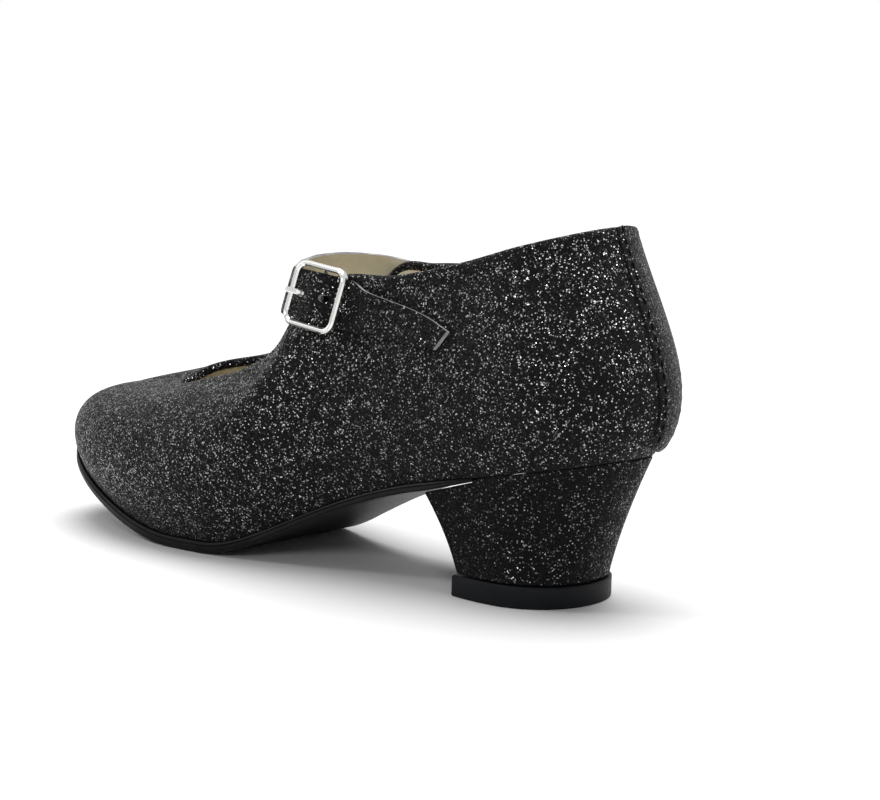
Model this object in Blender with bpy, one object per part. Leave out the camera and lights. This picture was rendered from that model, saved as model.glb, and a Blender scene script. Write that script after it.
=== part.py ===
"""A child's left flamenco shoe with a buckled strap and a covered block heel.

Metres. +X points to the toe, +Y to the outer side (the wearer's left), +Z up.
The origin lies on the floor, under the centre of the heel tip.
Lengths along the shoe are counted as shares of LAST_LENGTH, from the back of the last.
"""

import math

import bmesh
import bpy
import numpy as np

# Last: the form that the shoe is made on, measured along its feather line,
# where the upper meets the sole.
LAST_LENGTH = 0.174
BALL_WIDTH = 0.0535
SEAT_HEIGHT = 0.0330
SEAT_FALL = 0.0090
SHANK_FULLNESS = 0.0018
TOE_SPRING = 0.0185
BACK_HEIGHT = 0.0490

# Where the parts of the bottom begin and end, as shares of the length.
SEAT_END_SHARE = 0.262
WAIST_END_SHARE = 0.500
TREAD_START_SHARE = 0.620
TREAD_END_SHARE = 0.680
TAIL_START_SHARE = 0.190
TAIL_ROOM_SHARE = 0.012
SPRING_CURVE = 1.65

# Walls and layers.
UPPER_WALL = 0.0020
SOLE_THICKNESS = 0.0028
WAIST_THICKNESS = 0.0018
TAIL_THICKNESS = 0.0006
SOLE_EDGE = 0.0008
INSOLE_THICKNESS = 0.0015
GAP = 0.0003
METAL_CLEARANCE = 0.00015

# Heel and its tip.
TIP_LENGTH = 0.0270
TIP_WIDTH = 0.0350
TIP_THICKNESS = 0.0047
TIP_PROUD = 0.0006
TIP_ROUNDNESS = 2.1
TIP_FRONT_SHARE = 0.93
TIP_WIDEST_SHARE = 0.2
TIP_CENTRE_SHARE = 0.138
HEEL_HOLLOW = 0.0006

# Strip over the back seam, by way round and share of the way up.
STRIP_THICKNESS = 0.0009
STRIP_OUTER_WAY = 0.012
STRIP_INNER_WAY = -0.085
STRIP_FOOT_SHARE = 0.03
STRIP_TOP_SHARE = 0.995
STRIP_ROUND_SHARE = 0.10

# Strap.
STRAP_WIDTH = 0.0110
STRAP_THICKNESS = 0.0012
STRAP_OFFSET = 0.0009
HOLE_LENGTH = 0.0026
HOLE_WIDTH = 0.0017
HOLE_SHARE = 0.613
HOLE_PITCH = 0.0068

# Buckle: its own frame has a along the strap towards the heel, u across it
# upwards, and n away from the foot. It starts a little under the face of the
# upper, at a way round and a share of the way up, and is turned and sloped
# in degrees.
BUCKLE_WAY = 0.482
BUCKLE_RISE_SHARE = 0.920
BUCKLE_SINK = 0.00027
BUCKLE_TURN = -8.6
BUCKLE_SLOPE = 7.2
BUCKLE_LENGTH = 0.0150
BUCKLE_WIDTH = 0.0150
BUCKLE_BAND = 0.0013
BUCKLE_THICKNESS = 0.0014
BUCKLE_CORNER = 0.0030
BUCKLE_LEVEL = 0.00335
BAR_DIAMETER = 0.0009
BAR_LEVEL = 0.00155
BAR_BEND = 0.0013
STRAP_OVER_BAR = 0.0035
STRAP_UNDER_FRAME = 0.00175
PRONG_THICKNESS = 0.0005
PRONG_WIDTH = 0.0012
TAB_WIDTH = 0.0070
TAB_THICKNESS = 0.0005
TAB_LENGTH = 0.0070
TAB_SLOT = 0.0018
TAB_TURN = 0.0022
TAB_DROP = 0.0007

# How finely the curved pieces are divided.
STEPS_ALONG = 48
STEPS_UP = 12

# Plan of the feather line.
# share of the length, half width as a share of the ball width,
# bend of the axis to the outer side as a share of the ball width
OUTLINE = (
    (0.012, 0.130, 0.000),
    (0.050, 0.240, 0.000),
    (0.100, 0.295, 0.000),
    (0.160, 0.315, 0.000),
    (0.260, 0.315, 0.000),
    (0.380, 0.313, 0.005),
    (0.520, 0.390, 0.005),
    (0.640, 0.472, -0.038),
    (0.720, 0.497, -0.070),
    (0.838, 0.443, -0.085),
    (0.912, 0.367, -0.088),
    (0.966, 0.250, -0.090),
    (0.988, 0.150, -0.090),
)

# Topline, from the back (0) round each side to the middle of the throat (1).
# way round, then for the outer side and again for the inner side:
# share of the length, half width as a share of the ball width,
# height above the last's bottom as a share of the back height
TOPLINE = (
    (0.00, 0.049, 0.000, 1.020, 0.049, 0.000, 1.020),
    (0.08, 0.070, 0.196, 1.004, 0.070, 0.196, 1.014),
    (0.16, 0.128, 0.308, 0.984, 0.128, 0.308, 1.008),
    (0.26, 0.220, 0.336, 0.956, 0.220, 0.336, 0.991),
    (0.36, 0.310, 0.355, 0.960, 0.320, 0.355, 1.015),
    (0.46, 0.400, 0.364, 1.050, 0.410, 0.364, 1.111),
    (0.54, 0.452, 0.364, 1.031, 0.475, 0.364, 1.202),
    (0.62, 0.506, 0.346, 0.876, 0.540, 0.346, 1.101),
    (0.70, 0.582, 0.318, 0.839, 0.625, 0.318, 0.984),
    (0.80, 0.682, 0.262, 0.767, 0.715, 0.271, 0.850),
    (0.90, 0.768, 0.159, 0.662, 0.790, 0.178, 0.728),
    (1.00, 0.812, 0.000, 0.619, 0.812, 0.000, 0.619),
)

# Shape of the wall between the feather line and the topline.
# way round, lean out at the foot (degrees from upright), lean out below the
# top (degrees from upright), reach of the foot curve and of the top curve
# as shares of the distance between the two lines
WALL = (
    (0.00, 40.0, 20.0, 0.33, 0.42),
    (0.15, 34.0, 12.0, 0.38, 0.40),
    (0.32, 24.0, 8.0, 0.36, 0.35),
    (0.50, 24.0, 14.0, 0.36, 0.35),
    (0.62, 32.0, 34.0, 0.38, 0.38),
    (0.75, 34.0, 58.0, 0.40, 0.38),
    (0.88, 20.0, 76.0, 0.38, 0.44),
    (1.00, 12.0, 82.0, 0.40, 0.46),
)

# Free part of the strap, from the inner side round the front of the ankle.
# share of the length, sideways as a share of the ball width and height over
# the buckle's middle as a share of the back height, for the upper edge and
# then for the lower edge
STRAP_FREE = (
    (0.509, -0.351, 0.180, 0.520, -0.404, -0.036),
    (0.539, -0.236, 0.188, 0.567, -0.279, -0.011),
    (0.547, -0.084, 0.180, 0.575, -0.079, -0.018),
    (0.532, 0.090, 0.160, 0.551, 0.116, -0.045),
    (0.500, 0.247, 0.143, 0.512, 0.292, -0.070),
)

# Ends of the strap that lie on the upper.
# way round and share of the way up, for the upper edge and the lower edge
STRAP_START = (
    (-0.370, 0.960, -0.370, 0.780),
    (-0.420, 0.965, -0.420, 0.785),
    (-0.465, 0.975, -0.465, 0.800),
)
STRAP_TAIL = (
    (0.400, 0.925, 0.400, 0.735),
    (0.360, 0.880, 0.362, 0.700),
    (0.325, 0.830, 0.330, 0.665),
    (0.296, 0.775, 0.308, 0.640),
    (0.266, 0.695, 0.290, 0.620),
)

# Prong, from the bar to its point.
# way to the toe as a share of half the buckle's length,
# height as a share of the rise from the bar to the top of the frame
PRONG_LINE = (
    (0.160, 0.241),
    (0.347, 0.172),
    (0.480, 0.190),
    (0.600, 0.431),
    (0.707, 0.810),
    (0.813, 1.017),
    (1.000, 1.000),
    (1.080, 0.931),
)


def smooth_curve(knots, values, at):
    """Reads a smooth curve through the values at the knots. Beyond the ends it stays level."""
    knots = np.asarray(knots, float)
    values = np.asarray(values, float)
    slopes = np.gradient(values, knots)
    at = np.clip(at, knots[0], knots[-1])
    i = np.clip(np.searchsorted(knots, at) - 1, 0, len(knots) - 2)
    width = knots[i + 1] - knots[i]
    t = (at - knots[i]) / width
    rise = t * t * (3 - 2 * t)
    start_turn = t * (1 - t) ** 2
    end_turn = t * t * (t - 1)
    level = values[i] + rise * (values[i + 1] - values[i])
    return level + width * (start_turn * slopes[i] + end_turn * slopes[i + 1])


def share_at(way):
    """Share of the length at a way round from the back (0) to the toe (1), closer near both ends."""
    return (1 - np.cos(np.pi * np.abs(way))) / 2


def outline_y(share, side):
    """Sideways place of the feather line. side is 1 for the outer side and -1 for the inner side."""
    share = np.clip(share, 0, 1)
    table = np.array(OUTLINE)
    angles = np.arccos(1 - 2 * table[:, 0])
    fullness = table[:, 1] / np.sin(angles)
    angle = np.arccos(1 - 2 * share)
    half = smooth_curve(angles, fullness, angle) * np.sin(angle)
    bend = smooth_curve(angles, table[:, 2], angle)
    return BALL_WIDTH * (bend + side * half)


def along(share):
    """X of a share of the length, counted from the centre of the heel tip."""
    return (share - TIP_CENTRE_SHARE) * LAST_LENGTH


def last_bottom(share):
    """Height of the last's bottom: level on the tread, up to the toe and up the shank to the seat."""
    share = np.asarray(share, float)
    seat_slope = -SEAT_FALL / SEAT_END_SHARE
    seat = SEAT_HEIGHT + seat_slope * share
    shank_length = TREAD_START_SHARE - SEAT_END_SHARE
    shank_way = np.clip((share - SEAT_END_SHARE) / shank_length, 0, 1)
    shank = smooth_step_down(
        shank_way, SEAT_HEIGHT - SEAT_FALL, SOLE_THICKNESS, seat_slope * shank_length
    )
    shank = shank + SHANK_FULLNESS * np.sin(np.pi * shank_way) ** 2
    spring_way = np.clip((share - TREAD_END_SHARE) / (1 - TREAD_END_SHARE), 0, 1)
    spring = SOLE_THICKNESS + TOE_SPRING * spring_way**SPRING_CURVE
    return np.where(share < SEAT_END_SHARE, seat, np.where(share < TREAD_START_SHARE, shank, spring))


def smooth_step_down(t, start, end, start_slope):
    """Hermite curve from start to end, level at its end."""
    rise = t * t * (3 - 2 * t)
    return start + rise * (end - start) + start_slope * t * (1 - t) ** 2


def table_round(table, columns, way, odd=False):
    """Reads a column for the outer side and one for the inner side, for any way round from -1 to 1."""
    rows = np.array(table)
    outer, inner = columns
    sign = -1 if odd else 1
    knots = np.concatenate([-rows[:0:-1, 0], rows[:, 0], 2 - rows[-2:0:-1, 0]])
    values = np.concatenate([sign * rows[:0:-1, inner], rows[:, outer], sign * rows[-2:0:-1, inner]])
    return smooth_curve(knots, values, way)


def feather_line(way):
    share = share_at(way)
    side = np.where(np.asarray(way) < 0, -1.0, 1.0)
    return np.stack(
        [along(share), outline_y(share, side), last_bottom(share) + GAP], axis=-1
    )


def topline(way):
    share = table_round(TOPLINE, (1, 4), way)
    half = table_round(TOPLINE, (2, 5), way, odd=True)
    height = table_round(TOPLINE, (3, 6), way) * BACK_HEIGHT
    axis = (outline_y(share, 1) + outline_y(share, -1)) / 2
    return np.stack(
        [along(share), axis + half * BALL_WIDTH, last_bottom(share) + height], axis=-1
    )


def level_normals(line):
    """Outward directions, level with the floor, of a closed line that runs from the back by the outer side."""
    run = np.roll(line, -1, axis=0) - np.roll(line, 1, axis=0)
    outward = np.stack([-run[:, 1], run[:, 0], np.zeros(len(run))], axis=-1)
    return outward / np.linalg.norm(outward, axis=1, keepdims=True)


def upper_surface(ways, ups):
    """Outer face of the upper: a grid of points, by way round and by share of the way up."""
    foot, top = feather_line(ways), topline(ways)
    distance = np.linalg.norm(top - foot, axis=1, keepdims=True)
    lean_out = np.radians(table_round(WALL, (1, 1), ways))[:, None]
    lean_in = np.radians(table_round(WALL, (2, 2), ways))[:, None]
    up = np.array([0.0, 0.0, 1.0])
    foot_way = np.cos(lean_out) * up + np.sin(lean_out) * level_normals(foot)
    top_way = np.sin(lean_in) * level_normals(top) - np.cos(lean_in) * up
    foot_handle = foot + foot_way * distance * table_round(WALL, (3, 3), ways)[:, None]
    top_handle = top + top_way * distance * table_round(WALL, (4, 4), ways)[:, None]
    t = np.asarray(ups)[None, :, None]
    return (
        (1 - t) ** 3 * foot[:, None]
        + 3 * (1 - t) ** 2 * t * foot_handle[:, None]
        + 3 * (1 - t) * t**2 * top_handle[:, None]
        + t**3 * top[:, None]
    )


def grid_normals(grid, wraps):
    """Unit normals of a grid of points, pointing out of the shoe."""
    if wraps:
        across = np.roll(grid, -1, axis=0) - np.roll(grid, 1, axis=0)
    else:
        across = np.gradient(grid, axis=0)
    upward = np.gradient(grid, axis=1)
    normals = np.cross(upward, across)
    return normals / np.linalg.norm(normals, axis=2, keepdims=True)


def around_ways():
    return np.arange(-STEPS_ALONG, STEPS_ALONG) / STEPS_ALONG


def make_object(name, vertices, faces, material):
    """A named object from points and faces, with doubled points merged and its faces pointing out."""
    mesh = bpy.data.meshes.new(name)
    mesh.from_pydata([tuple(v) for v in vertices], [], faces)
    work = bmesh.new()
    work.from_mesh(mesh)
    bmesh.ops.remove_doubles(work, verts=work.verts, dist=1e-6)
    bmesh.ops.recalc_face_normals(work, faces=work.faces)
    work.to_mesh(mesh)
    work.free()
    mesh.materials.append(material)
    mesh.shade_smooth()
    mesh.set_sharp_from_angle(angle=math.radians(40))
    obj = bpy.data.objects.new(name, mesh)
    bpy.context.scene.collection.objects.link(obj)
    return obj


def sheet_solid(name, outer, inner, wraps, material):
    """A wall between two grids of points, closed along its open edges."""
    rows, columns = outer.shape[:2]
    vertices = np.concatenate([outer.reshape(-1, 3), inner.reshape(-1, 3)])
    inside = rows * columns
    faces = []
    for i in range(rows if wraps else rows - 1):
        a, b = i * columns, (i + 1) % rows * columns
        for j in range(columns - 1):
            faces.append((a + j, b + j, b + j + 1, a + j + 1))
            faces.append(tuple(inside + k for k in (a + j + 1, b + j + 1, b + j, a + j)))
        for j in (0, columns - 1):
            faces.append((a + j, b + j, inside + b + j, inside + a + j))
    if not wraps:
        for a in (0, (rows - 1) * columns):
            for j in range(a, a + columns - 1):
                faces.append((j, j + 1, inside + j + 1, inside + j))
    return make_object(name, vertices, faces, material)


def plate_solid(name, layers, material):
    """A closed plate from layers, each a pair of lines of points: outer side and inner side."""
    count = len(layers[0][0])
    vertices = np.concatenate([line for layer in layers for line in layer])
    faces = []
    for k in range(len(layers) - 1):
        here, above = 2 * count * k, 2 * count * (k + 1)
        for start in (0, count):
            for i in range(start, start + count - 1):
                faces.append((here + i, here + i + 1, above + i + 1, above + i))
        for i in (0, count - 1):
            faces.append((here + i, here + count + i, above + count + i, above + i))
    for here in (0, 2 * count * (len(layers) - 1)):
        for i in range(count - 1):
            j = here + i
            faces.append((j, j + 1, j + count + 1, j + count))
    return make_object(name, vertices, faces, material)


def make_material(name, colour, roughness, metallic=0.0):
    material = bpy.data.materials.new(name)
    material.use_nodes = True
    shader = material.node_tree.nodes["Principled BSDF"]
    shader.inputs["Base Color"].default_value = (*colour, 1.0)
    shader.inputs["Roughness"].default_value = roughness
    shader.inputs["Metallic"].default_value = metallic
    return material


def make_upper(material):
    ways = around_ways()
    outer = upper_surface(ways, np.linspace(0, 1, STEPS_UP + 1))
    inner = outer - grid_normals(outer, True) * UPPER_WALL
    inner[:, 0, 2] = outer[:, 0, 2]
    return sheet_solid("upper", outer, inner, True, material)


def plate_lines(shares, inset, heights):
    """Two lines of points on the feather line, moved in by inset, at the given heights."""
    count = len(shares)
    outer, inner = outline_y(shares, 1), outline_y(shares, -1)
    there = np.stack([along(shares), outer, heights], axis=-1)
    back = np.stack([along(shares), inner, heights], axis=-1)[::-1]
    meets = [abs(outer[k] - inner[k]) < 1e-6 for k in (0, -1)]
    loop = np.concatenate([there, back[1 if meets[1] else 0 : count - 1 if meets[0] else count]])
    moved = loop - level_normals(loop) * inset
    first = moved[:count]
    second = moved[count - (1 if meets[1] else 0) :][::-1]
    if meets[0]:
        second = np.concatenate([moved[:1], second])
    return [first, second]


def spaced_shares(start, end, steps):
    """Shares from start to end, closer near the toe tip and the back of the last."""
    first = math.acos(1 - 2 * start) / math.pi
    last = math.acos(1 - 2 * end) / math.pi
    return share_at(np.linspace(first, last, steps + 1))


def sole_thickness(share):
    """Full under the tread, thinner in the waist, skived where it tucks over the heel."""
    places = [TAIL_START_SHARE, SEAT_END_SHARE, WAIST_END_SHARE, TREAD_START_SHARE]
    depths = [TAIL_THICKNESS, WAIST_THICKNESS, WAIST_THICKNESS, SOLE_THICKNESS]
    return np.interp(share, places, depths)


def make_outsole(material):
    shares = spaced_shares(TAIL_START_SHARE, 1.0, STEPS_ALONG)
    top = last_bottom(shares)
    bottom = top - sole_thickness(shares)
    layers = [plate_lines(shares, -SOLE_EDGE, z) for z in (bottom, top)]
    return plate_solid("outsole", layers, material)


def make_insole(material):
    shares = spaced_shares(0.0, 1.0, STEPS_ALONG)
    inset = UPPER_WALL + GAP
    bottom = last_bottom(shares) + GAP
    layers = [plate_lines(shares, inset, bottom + rise) for rise in (0, INSOLE_THICKNESS)]
    return plate_solid("insole", layers, material)


def sole_tuck(share):
    """How far the heel's top stays below the last's bottom, to leave room for the sole's tail."""
    return np.where(share > TAIL_START_SHARE - TAIL_ROOM_SHARE, sole_thickness(share) + GAP, 0.0)


def tip_lines(count, proud, z):
    """Outer and inner line of the tip's outline, from its back to its front."""
    t = np.linspace(0, 1, count)
    half_length, half_width = TIP_LENGTH / 2 + proud, TIP_WIDTH / 2 + proud
    x = -half_length + 2 * half_length * (1 - np.cos(np.pi * t / 2))
    widest = TIP_WIDEST_SHARE * half_length
    back_way = np.clip((widest - x) / (widest + half_length), 0, 1)
    front_way = np.clip((x - widest) / (half_length - widest), 0, 1)
    y = half_width * (1 - back_way**TIP_ROUNDNESS) ** (1 / TIP_ROUNDNESS)
    y *= 1 - (1 - TIP_FRONT_SHARE) * front_way**2
    return [np.stack([x, side * y, np.full(count, z)], axis=-1) for side in (1, -1)]


def make_heel(material):
    """Block heel lofted from the seat to the tip, a little hollow in between."""
    steps = 22
    t = np.linspace(0, 1, steps + 1)
    shares = SEAT_END_SHARE * (1 - np.cos(np.pi * t / 2))
    top = plate_lines(shares, 0.0, last_bottom(shares) - sole_tuck(shares))
    foot = tip_lines(steps + 1, -TIP_PROUD, TIP_THICKNESS + GAP)
    layers = []
    for down in np.linspace(1, 0, 7):
        lines = []
        for high, low in zip(top, foot):
            line = high + (low - high) * down
            centre = line.mean(axis=0)
            spread = np.linalg.norm(line[:, :2] - centre[:2], axis=1, keepdims=True)
            hollow = HEEL_HOLLOW * 4 * down * (1 - down)
            line[:, :2] -= (line[:, :2] - [centre[0], 0]) / spread * hollow
            line[0, 1] = 0.0
            lines.append(line)
        layers.append(lines)
    return plate_solid("heel", layers, material)


def make_tip(material):
    layers = [tip_lines(25, 0.0, z) for z in (0.0, TIP_THICKNESS)]
    return plate_solid("heel_tip", layers, material)


def surface_spot(way, up):
    """A point on the upper's outer face and the outward direction there."""
    step = 0.002
    around = np.array([way - step, way, way + step])
    patch = upper_surface(around, np.array([up - step, up, up + step]))
    across = patch[2, 1] - patch[0, 1]
    upward = patch[1, 2] - patch[1, 0]
    normal = np.cross(upward, across)
    return patch[1, 1], normal / np.linalg.norm(normal)


def surface_points(ways, ups, offset):
    """Points on the upper's outer face, moved out along its normals by offset."""
    spots = [surface_spot(way, up) for way, up in zip(ways, ups)]
    return np.array([point + normal * offset for point, normal in spots])


def make_back_strip(material):
    """Narrow strip over the back seam, with a rounded foot."""
    ups = np.linspace(0, 1, 15)
    ways = np.linspace(STRIP_INNER_WAY, STRIP_OUTER_WAY, 7)
    middle = (STRIP_INNER_WAY + STRIP_OUTER_WAY) / 2
    reach = (STRIP_OUTER_WAY - STRIP_INNER_WAY) / 2
    layers = []
    for offset in (GAP + STRIP_THICKNESS, GAP):
        grid = []
        for way in ways:
            drop = 1 - math.sqrt(max(0.0, 1 - ((way - middle) / reach) ** 2))
            foot = STRIP_FOOT_SHARE + STRIP_ROUND_SHARE * drop
            heights = foot + (STRIP_TOP_SHARE - foot) * ups
            grid.append(surface_points(np.full(len(ups), way), heights, offset))
        layers.append(np.array(grid))
    return sheet_solid("back_strip", layers[0], layers[1], False, material)


def buckle_axes():
    """Origin of the buckle's frame at the upper, and its a, u and n directions."""
    place, outward = surface_spot(BUCKLE_WAY, BUCKLE_RISE_SHARE)
    turn, slope = math.radians(BUCKLE_TURN), math.radians(BUCKLE_SLOPE)
    heelward = np.cross([0.0, 0.0, 1.0], outward)
    heelward /= np.linalg.norm(heelward)
    upward = np.cross(outward, heelward)
    away = math.cos(turn) * outward - math.sin(turn) * heelward
    level = math.cos(turn) * heelward + math.sin(turn) * outward
    along_strap = math.cos(slope) * level - math.sin(slope) * upward
    across = math.cos(slope) * upward + math.sin(slope) * level
    return place - away * BUCKLE_SINK, along_strap, across, away


def in_buckle(points):
    """Turns rows of a, u, n of the buckle's frame into points of the shoe."""
    origin, along_strap, across, away = buckle_axes()
    points = np.asarray(points, float)
    return (
        origin
        + points[..., :1] * along_strap
        + points[..., 1:2] * across
        + points[..., 2:3] * away
    )


def strap_level(a):
    """Height of the strap's middle layer in the buckle: over the bar, under both sides."""
    under = BUCKLE_LENGTH / 2 - BUCKLE_BAND / 2
    way = np.clip(np.abs(a) / under, 0, 1)
    return STRAP_OVER_BAR + (STRAP_UNDER_FRAME - STRAP_OVER_BAR) * way**1.5


def strap_edges():
    """Rows of the upper and the lower edge of the strap's middle layer, from the inner side to the point."""
    offset = STRAP_OFFSET
    start = np.array(STRAP_START)
    upper = [surface_points(start[:, 0], start[:, 1], offset)]
    lower = [surface_points(start[:, 2], start[:, 3], offset)]
    free = np.array(STRAP_FREE)
    level = buckle_axes()[0][2]
    for edges, columns in ((upper, free[:, :3]), (lower, free[:, 3:])):
        edges.append(
            np.stack(
                [
                    along(columns[:, 0]),
                    columns[:, 1] * BALL_WIDTH,
                    level + columns[:, 2] * BACK_HEIGHT,
                ],
                axis=-1,
            )
        )
    a = np.linspace(-0.5, 0.5, 7) * (BUCKLE_LENGTH - BUCKLE_BAND)
    half = np.full_like(a, STRAP_WIDTH / 2)
    upper.append(in_buckle(np.stack([a, half, strap_level(a)], axis=-1)))
    lower.append(in_buckle(np.stack([a, -half, strap_level(a)], axis=-1)))
    tail = np.array(STRAP_TAIL)
    upper.append(surface_points(tail[:, 0], tail[:, 1], offset))
    lower.append(surface_points(tail[:, 2], tail[:, 3], offset))
    return np.concatenate(upper), np.concatenate(lower)


def resample(rows, counter, at):
    return np.stack([smooth_curve(counter, rows[:, k], at) for k in range(3)], axis=-1)


def strap_grid(steps, across):
    """Middle layer of the strap: a grid of points along it and across it, and its normals."""
    upper, lower = strap_edges()
    middle = (upper + lower) / 2
    lengths = np.linalg.norm(np.diff(middle, axis=0), axis=1)
    counter = np.concatenate([[0], np.cumsum(lengths)])
    at = np.linspace(0, counter[-1], steps + 1)
    high, low = resample(upper, counter, at), resample(lower, counter, at)
    t = np.linspace(0, 1, across + 1)[None, :, None]
    grid = low[:, None] + (high - low)[:, None] * t
    run = np.gradient(grid, axis=0)
    rise = (high - low)[:, None]
    normals = np.cross(run, np.broadcast_to(rise, run.shape))
    normals /= np.linalg.norm(normals, axis=2, keepdims=True)
    outward = np.sign(np.sum(normals[-8, 1] * np.array([0.0, 1.0, 0.0])))
    return grid, normals * outward


def add_cutter(target, name, vertices, faces):
    """Takes a closed shape out of an object."""
    mesh = bpy.data.meshes.new(name)
    mesh.from_pydata([tuple(v) for v in vertices], [], faces)
    work = bmesh.new()
    work.from_mesh(mesh)
    bmesh.ops.recalc_face_normals(work, faces=work.faces)
    work.to_mesh(mesh)
    work.free()
    cutter = bpy.data.objects.new(name, mesh)
    bpy.context.scene.collection.objects.link(cutter)
    cutter.hide_render = True
    cutter.display_type = "WIRE"
    cut = target.modifiers.new("cut " + name, "BOOLEAN")
    cut.operation = "DIFFERENCE"
    cut.solver = "EXACT"
    cut.object = cutter
    return cutter


def tube(path, section):
    """Points and faces of a bar with the same section all along its path, both in the buckle's frame.

    path has rows of a, u, n; section has pairs of offsets for each row.
    """
    count = len(section[0])
    vertices = (path[:, None] + np.array(section)).reshape(-1, 3)
    faces = []
    for i in range(len(path) - 1):
        for j in range(count):
            k = (j + 1) % count
            faces.append((i * count + j, i * count + k, (i + 1) * count + k, (i + 1) * count + j))
    faces.append(tuple(range(count)))
    faces.append(tuple((len(path) - 1) * count + j for j in range(count)))
    return vertices, faces


def make_strap(material):
    grid, normals = strap_grid(72, 4)
    half = STRAP_THICKNESS / 2
    strap = sheet_solid("strap", grid + normals * half, grid - normals * half, False, material)
    angles = np.linspace(0, 2 * np.pi, 16, endpoint=False)
    in_use = -HOLE_SHARE * BUCKLE_LENGTH / 2
    for name, centre in (("hole in use", in_use), ("empty hole", in_use + HOLE_PITCH)):
        rim = np.stack(
            [
                centre + HOLE_LENGTH / 2 * np.cos(angles),
                HOLE_WIDTH / 2 * np.sin(angles),
                np.zeros_like(angles),
            ],
            axis=-1,
        )
        path = np.array([[0.0, 0.0, 0.0], [0.0, 0.0, 2 * STRAP_OVER_BAR]])
        vertices, faces = tube(path, [rim, rim])
        add_cutter(strap, name, in_buckle(vertices), faces)
    return strap


def make_buckle(material):
    """Rounded square frame with a centre bar that dips below it."""
    steps = 10
    half_a, half_u = BUCKLE_LENGTH / 2, BUCKLE_WIDTH / 2
    section = [
        (0.0, -0.5),
        (0.0, 0.2),
        (0.25, 0.5),
        (0.42, 0.42),
        (0.5, 0.36),
        (0.58, 0.42),
        (0.75, 0.5),
        (1.0, 0.2),
        (1.0, -0.5),
    ]
    rings = []
    for corner in range(4):
        for i in range(steps + 1):
            angle = math.pi / 2 * (corner + i / steps)
            sign_a = 1 if corner in (0, 3) else -1
            sign_u = 1 if corner in (0, 1) else -1
            centre_a = sign_a * (half_a - BUCKLE_CORNER)
            centre_u = sign_u * (half_u - BUCKLE_CORNER)
            ring = []
            for inward, level in section:
                radius = BUCKLE_CORNER - inward * BUCKLE_BAND
                a = centre_a + radius * math.cos(angle)
                u = centre_u + radius * math.sin(angle)
                ring.append((a, u, BUCKLE_LEVEL + level * BUCKLE_THICKNESS))
            rings.append(ring)
    rings = np.array(rings)
    count, across = rings.shape[:2]
    faces = []
    for i in range(count):
        for j in range(across):
            m, k = (i + 1) % count, (j + 1) % across
            faces.append((i * across + j, m * across + j, m * across + k, i * across + k))
    frame = make_object("buckle", in_buckle(rings.reshape(-1, 3)), faces, material)
    inside = half_u - BUCKLE_BAND * 0.5
    path = np.array(
        [
            (0.0, -inside, BUCKLE_LEVEL),
            (0.0, -inside + 0.54 * BAR_BEND, BAR_LEVEL + 0.46 * BAR_BEND),
            (0.0, -inside + BAR_BEND, BAR_LEVEL),
            (0.0, inside - BAR_BEND, BAR_LEVEL),
            (0.0, inside - 0.54 * BAR_BEND, BAR_LEVEL + 0.46 * BAR_BEND),
            (0.0, inside, BUCKLE_LEVEL),
        ]
    )
    angles = np.linspace(0, 2 * np.pi, 10, endpoint=False)
    tilts = np.array([80.0, 60.0, 18.0, -18.0, -60.0, -80.0])
    sections = []
    for tilt in np.radians(tilts):
        radial = BAR_DIAMETER / 2 * np.cos(angles)
        sections.append(
            np.stack(
                [
                    BAR_DIAMETER / 2 * np.sin(angles),
                    radial * np.sin(tilt),
                    radial * np.cos(tilt),
                ],
                axis=-1,
            )
        )
    vertices, faces = tube(path, sections)
    bar = add_cutter(frame, "centre bar", in_buckle(vertices), faces)
    frame.modifiers["cut " + bar.name].operation = "UNION"
    return frame


def make_prong(material):
    """Flat prong that turns round the bar, comes up through the strap's hole and rests on the frame."""
    turn = BAR_DIAMETER / 2 + METAL_CLEARANCE + PRONG_THICKNESS / 2
    angles = np.radians([-130.0, -90.0, -45.0, 0.0, 45.0, 80.0])
    rows = [(turn * math.cos(x), BAR_LEVEL + turn * math.sin(x)) for x in angles]
    over = BUCKLE_LEVEL + BUCKLE_THICKNESS / 2 + METAL_CLEARANCE + PRONG_THICKNESS / 2
    for way, rise in PRONG_LINE:
        rows.append((-way * BUCKLE_LENGTH / 2, BAR_LEVEL + rise * (over - BAR_LEVEL)))
    rows = np.array(rows)
    run = np.gradient(rows, axis=0)
    run /= np.linalg.norm(run, axis=1, keepdims=True)
    side = np.stack([-run[:, 1], run[:, 0]], axis=-1)
    corners = [(-1, -0.5), (-0.6, -1), (0.6, -1), (1, -0.5), (1, 0.5), (0.6, 1), (-0.6, 1), (-1, 0.5)]
    path = np.stack([rows[:, 0], np.zeros(len(rows)), rows[:, 1]], axis=-1)
    sections = []
    for i in range(len(rows)):
        narrow = 0.6 if i == len(rows) - 1 else 1.0
        ring = []
        for across, thick in corners:
            shift = side[i] * thick * PRONG_THICKNESS / 2 * narrow
            ring.append((shift[0], across * PRONG_WIDTH / 2 * narrow, shift[1]))
        sections.append(ring)
    vertices, faces = tube(path, sections)
    return make_object("buckle_prong", in_buckle(vertices), faces, material)


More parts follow.
